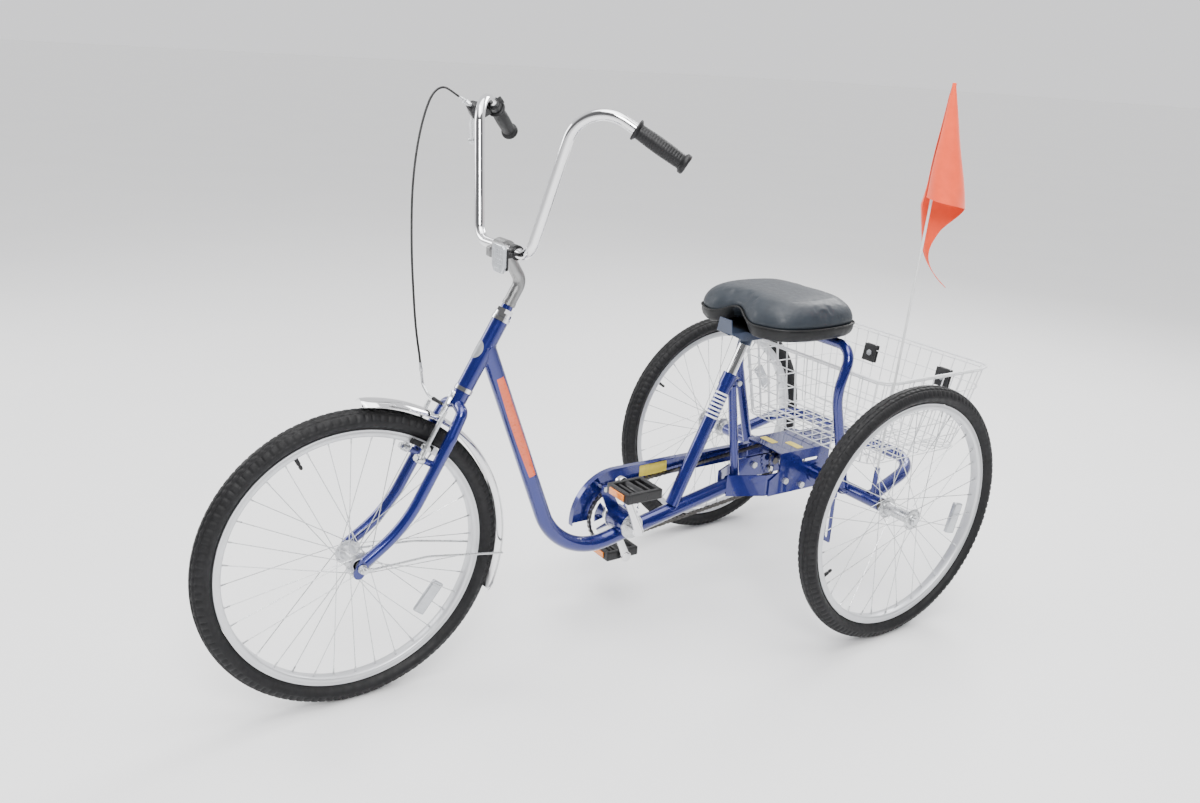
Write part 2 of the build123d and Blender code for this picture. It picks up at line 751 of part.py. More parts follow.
# ---------------------------------------------------------------- front brake
def make_brake_arm(name, side):
    with BuildPart() as arm:
        with BuildSketch(Plane(origin=steer(side * arm_x, boss_reach, arm_reach - 4.5),
                               x_dir=up, z_dir=ahead)):
            with BuildLine():
                Polyline((-8, 7), (-8, -7), (20, -7), (60, -5), (arm_length, -4.5), (arm_length, 4.5),
                         (60, 5), (20, 7), (-8, 7))
            make_face()
        extrude(amount=9.0)
        rod(steer(side * arm_x, boss_reach, 30.6), steer(side * arm_x, boss_reach, 45), 9.5)
        rod(steer(side * arm_x, boss_reach, 29), steer(side * arm_x, boss_reach, 48), 4.0 + fit,
            mode=Mode.SUBTRACT)
        rod(steer(side * (arm_x - 15), pad_drop, arm_reach), steer(side * (arm_x + 12), pad_drop, arm_reach), 3.0)
    finish(arm, name)


def make_brake_pad(name, side):
    pad_x = rim_width / 2 + pad_gap
    with BuildPart() as pad:
        with BuildSketch(Plane(origin=steer(side * pad_x, pad_drop, arm_reach), x_dir=up, z_dir=(side, 0, 0))):
            RectangleRounded(12, 56, 4)
        extrude(amount=arm_x - 15 - pad_x)
    finish(pad, name)


for hand, side in (("left", 1), ("right", -1)):
    make_brake_arm(f"brake_arm_{hand}", side)
    make_brake_pad(f"brake_pad_{hand}", side)

noodle = [steer(-72, -14, 74), steer(-68, 16, 54), steer(-40, 31, 43), steer(2, 28, 42)]
with BuildPart() as brake_noodle:
    pipe(noodle, [18.0, 30.0], 3.2)
finish(brake_noodle, "brake_noodle")

# ---------------------------------------------------------------- brake cable
cable_points = [
    barrel_end,
    barrel_end + (barrel_end - barrel_root) * 1.05,
    fore(-229, 301, 1268),
    fore(-218, 272, 1254),
    fore(-208, 251, 1218),
    fore(-197, 232, 1168),
    fore(-184, 216, 1108),
    fore(-169, 204, 1046),
    fore(-153, 196, 984),
    fore(-135, 189, 922),
    fore(-116, 184, 861),
    fore(-98, 180, 804),
    fore(-85, 179, 762),
    noodle[0] - (noodle[1] - noodle[0]) * 0.75,
    noodle[0],
]


def cord_bends(points):
    radii = []
    for before, here, after in zip(points, points[1:], points[2:]):
        turn = radians((here - before).get_angle(after - here))
        shorter = min((here - before).length, (after - here).length)
        radii.append(0.45 * shorter / tan(turn / 2))
    return radii


cable_r = 2.5
cable_bends = cord_bends(cable_points)
print("cable bends", [round(r) for r in cable_bends])
print("cable runs", [round((b - a).length) for a, b in zip(cable_points, cable_points[1:])])
with BuildPart() as brake_cable:
    pipe(cable_points, cable_bends, cable_r)
finish(brake_cable, "brake_cable")
with BuildLine() as cable_line:
    FilletPolyline(*cable_points, radius=cable_bends)
cable_length = sum(edge.length for edge in cable_line.edges())
cable_volume = pi * cable_r ** 2 * cable_length
print("cable length", round(cable_length, 1), "volume ratio", round(brake_cable.part.volume / cable_volume, 4))

# ---------------------------------------------------------------- front fender
fender_r = 348.0
fender_half = 29.0
fender_t = 1.4
fender_start = -25.0        # degrees above level, behind the axle
fender_end = 87.0


def fender_point(radius, angle, x=0.0):
    return Vector(x, front_y + radius * cos(radians(angle)), axle_z + radius * sin(radians(angle)))


with BuildPart() as front_fender:
    section = Plane(origin=(0, front_y, axle_z), x_dir=(1, 0, 0),
                    z_dir=(0, -sin(radians(fender_start)), cos(radians(fender_start))))
    with BuildSketch(section):
        with BuildLine():
            ThreePointArc((-fender_half, fender_r - 11), (0, fender_r), (fender_half, fender_r - 11))
            Line((fender_half, fender_r - 11), (fender_half - fender_t, fender_r - 11.4))
            ThreePointArc((fender_half - fender_t, fender_r - 11.4), (0, fender_r - fender_t),
                          (-fender_half + fender_t, fender_r - 11.4))
            Line((-fender_half + fender_t, fender_r - 11.4), (-fender_half, fender_r - 11))
        make_face()
    revolve(axis=Axis((0, front_y, axle_z), (1, 0, 0)), revolution_arc=fender_end - fender_start)
    with BuildSketch(Plane(origin=steer(0, 0, 18.3), x_dir=(1, 0, 0), z_dir=ahead)):
        with Locations((0, -24)):
            Rectangle(18, 59.5)
    extrude(amount=2.0)
finish(front_fender, "front_fender")

stay_angle = -8.0
stay_r = 2.5
stay_x = dropout_x + 2.5 + seat_gap + 1.5
with BuildPart() as fender_stays:
    for side in (-1, 1):
        tab = fender_point(fender_r - 10, stay_angle, side * (fender_half + 3.2))
        knee = fender_point(150, stay_angle + 4, side * 42)
        foot = Vector(side * stay_x, front_y + 22, axle_z - 6)
        pipe([tab, knee, foot], [160.0], stay_r)
        disc(side * stay_x - 1.5, front_axle, 9.5, 3.0)
        with BuildSketch(Plane(origin=(side * stay_x - 1.5, front_y, axle_z), x_dir=(0, 1, 0), z_dir=(1, 0, 0))):
            with Locations((12, -6)):
                Rectangle(24, 7)
        extrude(amount=3.0)
    disc(-70, front_axle, front_axle_r + 0.02, 140, mode=Mode.SUBTRACT)
finish(fender_stays, "fender_stays")

with BuildPart() as front_axle_set:
    disc(-72, front_axle, front_axle_r, 144)
    for side in (-1, 1):
        start = Vector(side * 36.5, front_y, axle_z)
        rod(start, start + Vector(side * 10.6, 0, 0), 8.5)
    for side in (-1, 1):
        nut(Vector(side * (stay_x + 1.8), front_y, axle_z), (side, 0, 0), 15.0, 8.0, front_axle_r)
        nut(steer(side * arm_x, boss_reach, 47.0), ahead, 12.0, 4.5)
    clamp_bolt = Vector(-11, bar_centre.Y - 29, bar_centre.Z - 6)
    rod(clamp_bolt, clamp_bolt + Vector(3.8, 0, 0), 5.5)
    rod(steer(0, 4, 20.6), steer(0, 4, 26), 6.0)
finish(front_axle_set, "front_axle_and_nuts")

reflector_at = Vector(54.0, bar_centre.Y - 40.0, bar_centre.Z - 10.0)
with BuildPart() as reflector_bracket:
    disc(46, bar_centre, 15.5, 14, bar_r + 0.02)
    with BuildSketch(Plane(origin=(53, bar_centre.Y - 13, bar_centre.Z - 5), z_dir=(0, -1, 0))):
        RectangleRounded(12, 18, 3)
    extrude(amount=21)
    with BuildSketch(Plane(origin=reflector_at + Vector(0, 6.0, 0), z_dir=(0, 1, 0))):
        RectangleRounded(46, 52, 6)
    extrude(amount=3.0)
finish(reflector_bracket, "reflector_bracket")

with BuildPart() as front_reflector:
    with BuildSketch(Plane(origin=reflector_at + Vector(0, 6.0, 0), z_dir=(0, -1, 0))):
        RectangleRounded(50, 58, 8)
    extrude(amount=9.0)
finish(front_reflector, "front_reflector")

# ---------------------------------------------------------------- rear carriage
cover_z = 400.0
cover_t = 3.0
plate_rear = 45.0
loop_side = housing_end - 38.0
loop_corner = spot(loop_side - 22.0, 188.0, 386.0)
stub_foot = spot(loop_side + 10.0, -4.0, 332.0)
pole_foot = spot(loop_side + 10.6, -2.8, 362.0)
pole_tip = spot(loop_side + 36.0, 34.0, 1334.0)
pole_way = (pole_tip - pole_foot).normalized()
stub_top = pole_foot + pole_way * 54.0

with BuildPart() as rear_carriage:
    for side in (-1, 1):
        disc(min(side * (box_half - plate), side * housing_end), rear_centre, housing_r,
             housing_end - box_half + plate)
        disc(min(side * box_half, side * (box_half + 4)), rear_centre, 26.0, 4.0)
        with BuildSketch(side_plane(min(side * box_half, side * (box_half - plate)))):
            with BuildLine():
                Polyline((-160, 286), (plate_rear, 286), (plate_rear, cover_z), (-128, cover_z), (-128, 348),
                         (-160, 330), (-160, 286))
            make_face()
            with Locations((-23, 368)):
                SlotOverall(58, 9, mode=Mode.SUBTRACT)
            for y, z in bolt_spots:
                with Locations((y, z)):
                    Circle(5.2, mode=Mode.SUBTRACT)
        extrude(amount=plate)
    with BuildSketch(Plane.XY.offset(cover_z - cover_t)):
        with Locations((0, rear_y + (plate_rear - 128) / 2)):
            Rectangle(2 * box_half, 128 + plate_rear)
    extrude(amount=cover_t)
    with BuildSketch(Plane.XY.offset(cover_z - cover_t)):
        with Locations((0, rear_y + 112)):
            Rectangle(96, 150)
    extrude(amount=basket_floor_z - seat_gap - cover_z + cover_t)
    pipe(
        [spot(loop_side, 0, 332), loop_corner, mirrored(loop_corner), spot(-loop_side, 0, 332)],
        [88.0, 88.0], loop_r,
    )
    rod(stub_foot, stub_top, 6.5)
    rod(pole_foot, stub_top + pole_way * 5, pole_r + 0.1, mode=Mode.SUBTRACT)
    for side in (-1, 1):
        disc(min(side * 20, side * (housing_end + 5)), rear_centre, housing_r - housing_wall,
             housing_end - 15, mode=Mode.SUBTRACT)
finish(rear_carriage, "rear_carriage")

with BuildPart() as axle_bearings:
    for x in (-housing_end, -80.0, 80.0 - 12.0, housing_end - 12.0):
        disc(x, rear_centre, housing_r - housing_wall, 12.0, axle_r + fit)
finish(axle_bearings, "axle_bearings")

hoop_foot = spot(187.0, -20.0, 338.0)
hoop_knee = spot(187.0, -86.0, 590.0)
hoop_top = spot(187.0, -50.0, 706.0)
with BuildPart() as seat_hoop:
    pipe(
        [hoop_foot, hoop_knee, hoop_top, mirrored(hoop_top), mirrored(hoop_knee), mirrored(hoop_foot)],
        [130.0, 46.0, 46.0, 130.0], hoop_r,
    )
    disc(-housing_end, rear_centre, housing_r + seat_gap, 2 * housing_end, mode=Mode.SUBTRACT)
finish(seat_hoop, "seat_hoop")

strap_x = 156.0
with BuildPart() as slotted_strap:
    with BuildSketch(Plane(origin=spot(strap_x, -housing_r - 4.3, 0), x_dir=(1, 0, 0), z_dir=(0, -1, 0))):
        with Locations((0, 246)):
            RectangleRounded(30, 152, 3)
        with Locations((0, 236)):
            SlotOverall(112, 10, rotation=90, mode=Mode.SUBTRACT)
    extrude(amount=3.0)
    with BuildSketch(Plane(origin=spot(strap_x - 15, 0, 0), x_dir=(0, 1, 0), z_dir=(1, 0, 0))):
        with Locations((0, axle_z)):
            Circle(housing_r + 3.2)
            Circle(housing_r + 0.02, mode=Mode.SUBTRACT)
        with Locations((-housing_r - 3.8, 316)):
            Rectangle(6.4, 34)
        with Locations((0, axle_z)):
            Circle(housing_r + 0.02, mode=Mode.SUBTRACT)
    extrude(amount=30.0)
finish(slotted_strap, "slotted_strap")

with BuildPart() as frame_fasteners:
    for y, z in bolt_spots:
        for side in (-1, 1):
            inner = spot(side * (box_half - 2 * plate - 8.0), y, z)
            outer = spot(side * (box_half + 0.0), y, z)
            rod(inner, outer, 5.0)
            nut(outer, (side, 0, 0), 16.0, 7.0)
            nut(spot(side * (box_half - 2 * plate), y, z), (-side, 0, 0), 16.0, 7.5, 5.0)
    lug = Vector(0, seat_head.Y + 23.0, seat_head.Z - 26.0)
    nut(lug + Vector(7.0, 0, 0), (1, 0, 0), 13.0, 6.0)
    nut(lug - Vector(7.0, 0, 0), (-1, 0, 0), 13.0, 6.0)
    rod(Vector(-bb_half_width, guard_bolt.Y, guard_bolt.Z), Vector(guard_t + guard_clear - arm_in, guard_bolt.Y, guard_bolt.Z), 4.0)
    rod(Vector(-bb_half_width + plate, guard_bolt.Y, guard_bolt.Z),
        Vector(-bb_half_width + plate + 4, guard_bolt.Y, guard_bolt.Z), 6.5)
    rod(spot(strap_x, -housing_r - 7.3, 308), spot(strap_x, -housing_r - 12.0, 308), 8.0)
finish(frame_fasteners, "frame_fasteners")

# ---------------------------------------------------------------- chain guard
guard_x = guard_t + guard_clear - arm_in
guard_out = 121.0
guard_in = 64.0
guard_rear = -136.0

guard_foot = 8.0            # the guard's front end stops this far below the crank


def guard_at(radius, lean_back):
    """A point round the crank: lean_back degrees forward of straight up."""
    return (-bb_back - radius * sin(radians(lean_back)), bb_height + radius * cos(radians(lean_back)))


def guard_end(radius):
    return (-bb_back - sqrt(radius ** 2 - guard_foot ** 2), bb_height - guard_foot)


with BuildPart() as chain_guard:
    with BuildSketch(side_plane(guard_x - guard_t)):
        with BuildLine():
            ThreePointArc(guard_end(guard_out), guard_at(guard_out, 52), guard_at(guard_out, 0))
            Polyline(guard_at(guard_out, 0), (guard_rear, 394), (guard_rear, 348),
                     (guard_at(guard_in, 32)[0] + 40, 344), guard_at(guard_in, 32))
            ThreePointArc(guard_at(guard_in, 32), guard_at(guard_in, 62), guard_end(guard_in))
            Line(guard_end(guard_in), guard_end(guard_out))
        make_face()
    extrude(amount=guard_t)
    thin = guard_out - 1.6
    with BuildSketch(side_plane(guard_x)):
        with BuildLine():
            ThreePointArc(guard_end(guard_out), guard_at(guard_out, 52), guard_at(guard_out, 0))
            Polyline(guard_at(guard_out, 0), (guard_rear, 394), (guard_rear, 392.4), guard_at(thin, 0))
            ThreePointArc(guard_at(thin, 0), guard_at(thin, 52), guard_end(thin))
            Line(guard_end(thin), guard_end(guard_out))
        make_face()
    extrude(amount=14.0)
finish(chain_guard, "chain_guard")

# ---------------------------------------------------------------- seat
bracket_t = 4.0
with BuildPart() as seat_bracket:
    with BuildSketch(Plane.XY.offset(seat_base_z - bracket_t)):
        with Locations((0, rear_y - 169)):
            Rectangle(58, 270)
    extrude(amount=bracket_t)
    with BuildSketch(Plane(origin=spot(0, -301, 0), x_dir=(1, 0, 0), z_dir=(0, -1, 0))):
        with BuildLine():
            Polyline((-29, seat_base_z - bracket_t), (29, seat_base_z - bracket_t), (22, 758), (-22, 758),
                     (-29, seat_base_z - bracket_t))
        make_face()
    extrude(amount=3.0)
    for x in (-29.0, 26.0):
        with BuildSketch(side_plane(x)):
            with BuildLine():
                Polyline((-304, seat_base_z - bracket_t), (-34, seat_base_z - bracket_t), (-40, 716), (-200, 704),
                         (-264, 704), (-304, seat_base_z - bracket_t))
            make_face()
        extrude(amount=3.0)
    rod(post_top - seat_way * 20, spot(0, post_top.Y - rear_y + 3, seat_base_z - 10), 17.0)
    rod(post_top - seat_way * 30, post_top, seat_post_r + 0.02, mode=Mode.SUBTRACT)
    disc(-200, Vector(0, hoop_top.Y, hoop_top.Z), hoop_r + seat_gap, 400, mode=Mode.SUBTRACT)
finish(seat_bracket, "seat_bracket")

with BuildPart() as seat_cushion:
    front = seat_middle - seat_length / 2
    rear = seat_middle + seat_length / 2
    with BuildSketch(Plane(origin=(0, rear_y, seat_base_z + seat_gap))):
        with BuildLine():
            Spline(
                (0, front + 20), (-92, front + 2), (-seat_half + 22, front + 44), (-seat_half, seat_middle - 18),
                (-seat_half + 32, rear - 46), (-92, rear - 6), (0, rear), (92, rear - 6),
                (seat_half - 32, rear - 46), (seat_half, seat_middle - 18), (seat_half - 22, front + 44),
                (92, front + 2), periodic=True,
            )
        make_face()
    extrude(amount=seat_top_z - seat_base_z - seat_gap)
    fillet(seat_cushion.faces().sort_by(Axis.Z)[-1].edges(), radius=24)
finish(seat_cushion, "seat_cushion")

# ---------------------------------------------------------------- basket
corner_r = 45.0
rim_inside = 6.0


def basket_outline(z, half, front, rear, radius):
    with BuildSketch(Plane(origin=(0, rear_y + (front + rear) / 2, z))) as outline:
        RectangleRounded(2 * half, rear - front, radius)
    return outline.sketch


with BuildPart() as basket:
    low_out = basket_outline(basket_floor_z, basket_floor_half, basket_front_floor, basket_rear_floor, corner_r)
    high_out = basket_outline(basket_rim_z, basket_top_half, basket_front_top, basket_rear_top, corner_r)
    loft([low_out, high_out])
    low_in = basket_outline(basket_floor_z + basket_wall, basket_floor_half - basket_wall,
                            basket_front_floor + basket_wall, basket_rear_floor - basket_wall,
                            corner_r - basket_wall)
    high_in = basket_outline(basket_rim_z, basket_top_half - basket_wall, basket_front_top + basket_wall,
                             basket_rear_top - basket_wall, corner_r - basket_wall)
    loft([low_in, high_in], mode=Mode.SUBTRACT)
    window_w = 46.0
    window_h = 44.0
    pitch_w = 52.0
    pitch_h = 51.0
    window_z = (basket_floor_z + basket_rim_z) / 2
    middle_y = (basket_front_floor + basket_rear_floor) / 2
    with BuildSketch(Plane(origin=(0, rear_y + 600, window_z), x_dir=(1, 0, 0), z_dir=(0, -1, 0))):
        with GridLocations(pitch_w, pitch_h, 7, 4):
            Rectangle(window_w, window_h)
    extrude(amount=800, mode=Mode.SUBTRACT)
    with BuildSketch(Plane(origin=(-400, rear_y + middle_y + 8, window_z), x_dir=(0, 1, 0), z_dir=(1, 0, 0))):
        with GridLocations(pitch_w, pitch_h, 5, 4):
            Rectangle(window_w, window_h)
    extrude(amount=800, mode=Mode.SUBTRACT)
    with BuildSketch(Plane(origin=(0, rear_y + middle_y, basket_floor_z - 5))):
        with GridLocations(pitch_w, pitch_w, 7, 5):
            Rectangle(window_w, window_w)
    extrude(amount=20, mode=Mode.SUBTRACT)
    with BuildSketch(Plane(origin=(0, rear_y + (basket_front_top + basket_rear_top) / 2, basket_rim_z - 3.0))):
        RectangleRounded(2 * (basket_top_half + basket_rim), basket_rear_top - basket_front_top + 2 * basket_rim,
                         corner_r + basket_rim)
        RectangleRounded(2 * (basket_top_half - rim_inside), basket_rear_top - basket_front_top - 2 * rim_inside,
                         corner_r - rim_inside, mode=Mode.SUBTRACT)
    extrude(amount=6.0)
finish(basket, "basket")

rear_reflector_z = 566.0
rear_slope = (basket_rear_top - basket_rear_floor) / (basket_rim_z - basket_floor_z)
rear_wall_y = basket_rear_floor + rear_slope * (rear_reflector_z - basket_floor_z)
wall_normal = Vector(0, 1, -rear_slope).normalized()
with BuildPart() as rear_reflectors:
    for side in (-1, 1):
        seat = spot(side * 132, rear_wall_y, rear_reflector_z) + wall_normal * seat_gap
        with BuildSketch(Plane(origin=seat, x_dir=(1, 0, 0), z_dir=wall_normal)):
            RectangleRounded(46, 52, 10)
        extrude(amount=8.0)
finish(rear_reflectors, "rear_reflectors")

# ---------------------------------------------------------------- flag and pole
with BuildPart() as flag_pole:
    rod(pole_foot + pole_way * 0.5, pole_tip, pole_r)
finish(flag_pole, "flag_pole")

flag_top = pole_tip - pole_way * 4.0
flag_low = pole_foot + pole_way * 616.0
flag_fly = spot(pole_tip.X, 118.0, 1068.0)
with BuildPart() as flag:
    with BuildSketch(Plane(origin=(pole_tip.X - 26, 0, 0), x_dir=(0, 1, 0), z_dir=(1, 0, 0))):
        with BuildLine():
            Polyline(
                (flag_top.Y - 6, flag_top.Z), (flag_top.Y + 6, flag_top.Z), (flag_fly.Y, flag_fly.Z),
                (flag_fly.Y - 14, flag_fly.Z - 40), (flag_low.Y + 6, flag_low.Z), (flag_low.Y - 16, flag_low.Z),
                (flag_low.Y - 20, flag_low.Z + 90), (flag_top.Y - 6, flag_top.Z),
            )
        make_face()
    extrude(amount=40)
    rod(pole_foot, pole_tip + pole_way * 10, pole_r + seat_gap, mode=Mode.SUBTRACT)
finish(flag, "flag")
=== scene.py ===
"""Looks of the adult tricycle, built round its CAD frame. Metres; +X is the rider's left, -Y is forward."""

import json
import math

import bmesh
import bpy
from mathutils import Matrix, Vector


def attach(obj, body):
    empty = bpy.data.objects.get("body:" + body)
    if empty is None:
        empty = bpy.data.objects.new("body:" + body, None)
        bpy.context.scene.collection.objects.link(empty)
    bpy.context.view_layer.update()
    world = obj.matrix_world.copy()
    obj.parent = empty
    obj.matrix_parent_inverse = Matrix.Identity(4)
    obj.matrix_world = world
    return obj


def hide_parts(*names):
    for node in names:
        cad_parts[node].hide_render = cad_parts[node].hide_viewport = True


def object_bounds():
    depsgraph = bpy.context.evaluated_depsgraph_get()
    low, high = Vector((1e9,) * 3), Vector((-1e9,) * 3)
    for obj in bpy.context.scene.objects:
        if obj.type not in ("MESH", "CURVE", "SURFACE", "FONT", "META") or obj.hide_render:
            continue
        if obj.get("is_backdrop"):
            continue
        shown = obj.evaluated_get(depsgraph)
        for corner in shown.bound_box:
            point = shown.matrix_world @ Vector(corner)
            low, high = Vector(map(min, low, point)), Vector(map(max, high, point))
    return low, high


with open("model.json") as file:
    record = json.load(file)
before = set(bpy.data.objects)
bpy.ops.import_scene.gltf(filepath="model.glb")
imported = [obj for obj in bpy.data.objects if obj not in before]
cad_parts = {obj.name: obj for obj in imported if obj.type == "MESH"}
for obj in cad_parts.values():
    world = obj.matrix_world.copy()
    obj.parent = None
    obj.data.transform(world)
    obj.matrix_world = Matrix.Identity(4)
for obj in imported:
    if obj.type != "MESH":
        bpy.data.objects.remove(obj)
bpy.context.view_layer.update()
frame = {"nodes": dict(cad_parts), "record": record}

# ---------------------------------------------------------------- sizes, shared with the CAD part
MM = 0.001
WHEELBASE = 1.254
TYRE_R = 0.327
REAR_Y = (WHEELBASE + TYRE_R - 0.393) / 2
FRONT_Y = REAR_Y - WHEELBASE
AXLE_Z = TYRE_R
HALF_TRACK = 0.3628
UP = Vector((0, 0.5, math.sqrt(0.75)))
AHEAD = Vector((0, -math.sqrt(0.75), 0.5))
CROWN = Vector((0, FRONT_Y, AXLE_Z)) + UP * 0.4 - AHEAD * 0.0455
PITCH = 0.0127
RING_TEETH, SPROCKET_TEETH, LINKS = 36, 32, 124
RING_R = PITCH * RING_TEETH / (2 * math.pi)
SPROCKET_R = PITCH * SPROCKET_TEETH / (2 * math.pi)
CHAIN_X = -0.042
BB_Z = 0.273
CRANK_ANGLE = math.radians(24)
CRANK_LENGTH = 0.152
BAR_R = 0.0111


def spot(x, y, z):
    """A point in millimetres, y measured from the rear axle."""
    return Vector((x * MM, REAR_Y + y * MM, z * MM))


def steer(x, drop, reach=0.0):
    """A point of the fork in millimetres: drop down the head axis from the crown, reach forward of it."""
    return CROWN - UP * drop * MM + AHEAD * reach * MM + Vector((x * MM, 0, 0))


def chain_length(distance):
    lean = math.asin((RING_R - SPROCKET_R) / distance)
    runs = 2 * distance * math.cos(lean)
    return runs + RING_R * (math.pi + 2 * lean) + SPROCKET_R * (math.pi - 2 * lean)


low, high = 0.3, 0.9
for _ in range(60):
    middle = (low + high) / 2
    if chain_length(middle) < LINKS * PITCH:
        low = middle
    else:
        high = middle
CENTRES = low
BB_RISE = AXLE_Z - BB_Z
BB_BACK = math.sqrt(CENTRES**2 - BB_RISE**2)
BB = Vector((0, REAR_Y - BB_BACK, BB_Z))

# ---------------------------------------------------------------- mesh helpers


class Shape:
    """Vertices and faces gathered from simple forms, made into one object at the end."""

    def __init__(self):
        self.verts = []
        self.faces = []

    def add(self, verts, faces):
        base = len(self.verts)
        self.verts += [tuple(v) for v in verts]
        self.faces += [tuple(i + base for i in face) for face in faces]

    def tube(self, points, radius, sides=12, closed=False):
        """A round tube along points; radius is one value or one for each point."""
        points = [Vector(p) for p in points]
        count = len(points)
        radii = radius if isinstance(radius, (list, tuple)) else [radius] * count
        verts = []
        normal = None
        for i, p in enumerate(points):
            before = points[(i - 1) % count] if closed or i else p
            after = points[(i + 1) % count] if closed or i < count - 1 else p
            along = (after - before).normalized()
            if normal is None:
                normal = along.orthogonal().normalized()
            else:
                normal = (normal - along * normal.dot(along)).normalized()
            side = along.cross(normal)
            for k in range(sides):
                a = 2 * math.pi * k / sides
                verts.append(p + (normal * math.cos(a) + side * math.sin(a)) * radii[i])
        faces = []
        last = count if closed else count - 1
        for i in range(last):
            j = (i + 1) % count
            twist = 0
            if closed and j == 0:
                start = verts[0] - points[0]
                gaps = [(verts[i * sides + k] - points[i] - start).length for k in range(sides)]
                twist = gaps.index(min(gaps))
            for k in range(sides):
                n = (k + 1) % sides
                faces.append((i * sides + (k + twist) % sides, i * sides + (n + twist) % sides,
                              j * sides + n, j * sides + k))
        if not closed:
            faces.append(tuple(reversed(range(sides))))
            faces.append(tuple(range((count - 1) * sides, count * sides)))
        self.add(verts, faces)

    def lathe(self, profile, origin, axis, segments=64, closed=False):
        """Turns (distance along axis, radius) points round an axis."""
        axis = Vector(axis).normalized()
        one = axis.orthogonal().normalized()
        two = axis.cross(one)
        origin = Vector(origin)
        count = len(profile)
        verts = []
        for s in range(segments):
            a = 2 * math.pi * s / segments
            out = one * math.cos(a) + two * math.sin(a)
            verts += [origin + axis * x + out * r for x, r in profile]
        faces = []
        for s in range(segments):
            t = (s + 1) % segments
            for i in range(count if closed else count - 1):
                j = (i + 1) % count
                faces.append((s * count + i, s * count + j, t * count + j, t * count + i))
        self.add(verts, faces)

    def box(self, centre, size, axes=None, bevel=0.0):
        """A box with rounded edges; axes are its three directions."""
        bm = bmesh.new()
        bmesh.ops.create_cube(bm, size=1.0)
        bmesh.ops.scale(bm, vec=size, verts=bm.verts)
        if bevel:
            bmesh.ops.bevel(bm, geom=bm.edges[:], offset=bevel, segments=3, profile=0.6, affect="EDGES")
        turn = Matrix(axes).transposed() if axes else Matrix.Identity(3)
        centre = Vector(centre)
        verts = [centre + turn @ v.co for v in bm.verts]
        self.add(verts, [[v.index for v in f.verts] for f in bm.faces])
        bm.free()

    def build(self, name, material, smooth=38.0):
        mesh = bpy.data.meshes.new(name)
        mesh.from_pydata(self.verts, [], self.faces)
        mesh.validate()
        bm = bmesh.new()
        bm.from_mesh(mesh)
        bmesh.ops.recalc_face_normals(bm, faces=bm.faces)
        bm.to_mesh(mesh)
        bm.free()
        mesh.shade_smooth()
        mesh.set_sharp_from_angle(angle=math.radians(smooth))
        mesh.materials.append(material)
        made = bpy.data.objects.new(name, mesh)
        bpy.context.scene.collection.objects.link(made)
        return made


def band_faces(rows, count, ring=True):
    """Faces between rows of points, count across; each row is a ring unless ring is False."""
    wide = count if ring else count + 1
    return [(i * wide + k, i * wide + (k + 1) % wide, (i + 1) * wide + (k + 1) % wide, (i + 1) * wide + k)
            for i in range(rows) for k in range(count)]


def end_faces(rows, count):
    """The two faces that close a stack of rings."""
    return [tuple(range(count)), tuple(range(rows * count, (rows + 1) * count))]


def squared(value, power):
    """Swells a cosine or sine, so that a circle becomes a rounded square."""
    return math.copysign(abs(value) ** power, value)


def rounded(points, radii, step=math.radians(6)):
    """The corners of a path replaced by arcs."""
    points = [Vector(p) for p in points]
    if not isinstance(radii, (list, tuple)):
        radii = [radii] * (len(points) - 2)
    path = [points[0]]
    for before, here, after, radius in zip(points, points[1:], points[2:], radii):
        a = (before - here).normalized()
        b = (after - here).normalized()
        turn = math.pi - a.angle(b)
        reach = radius * math.tan(turn / 2)
        centre = here + (a + b).normalized() * (radius / math.cos(turn / 2))
        start = here + a * reach - centre
        axis = start.cross(here + b * reach - centre).normalized()
        count = max(2, int(turn / step))
        path += [centre + Matrix.Rotation(turn * i / count, 3, axis) @ start for i in range(count + 1)]
    return path + [points[-1]]


def plate(name, outlines, thickness, origin, x_dir, normal, material, bevel=0.0004):
    """A flat plate with holes: the first outline is its edge and the rest are holes, in metres."""
    curve = bpy.data.curves.new(name, "CURVE")
    curve.dimensions = "2D"
    curve.fill_mode = "BOTH"
    curve.extrude = thickness / 2 - bevel
    curve.bevel_depth = bevel
    curve.bevel_resolution = 1
    curve.offset = -bevel
    for outline in outlines:
        spline = curve.splines.new("POLY")
        spline.points.add(len(outline) - 1)
        for point, (x, y) in zip(spline.points, outline):
            point.co = (x, y, 0, 1)
        spline.use_cyclic_u = True
    holder = bpy.data.objects.new(name + "_curve", curve)
    bpy.context.scene.collection.objects.link(holder)
    graph = bpy.context.evaluated_depsgraph_get()
    mesh = bpy.data.meshes.new_from_object(holder.evaluated_get(graph))
    bpy.data.objects.remove(holder)
    normal = Vector(normal).normalized()
    x_dir = Vector(x_dir).normalized()
    turn = Matrix((x_dir, normal.cross(x_dir), normal)).transposed().to_4x4()
    turn.translation = Vector(origin) + normal * thickness / 2
    mesh.transform(turn)
    mesh.shade_smooth()
    mesh.set_sharp_from_angle(angle=math.radians(30))
    mesh.materials.clear()
    mesh.materials.append(material)
    made = bpy.data.objects.new(name, mesh)
    bpy.context.scene.collection.objects.link(made)
    return made


def circle(radius, count=48, centre=(0.0, 0.0)):
    return [(centre[0] + radius * math.cos(2 * math.pi * i / count),
             centre[1] + radius * math.sin(2 * math.pi * i / count)) for i in range(count)]


def round_rect(width, height, radius, count=6):
    points = []
    for sx, sy, start in ((1, 1, 0), (-1, 1, 90), (-1, -1, 180), (1, -1, 270)):
        for i in range(count + 1):
            a = math.radians(start + 90 * i / count)
            points.append((sx * (width / 2 - radius) + radius * math.cos(a),
                           sy * (height / 2 - radius) + radius * math.sin(a)))
    return points


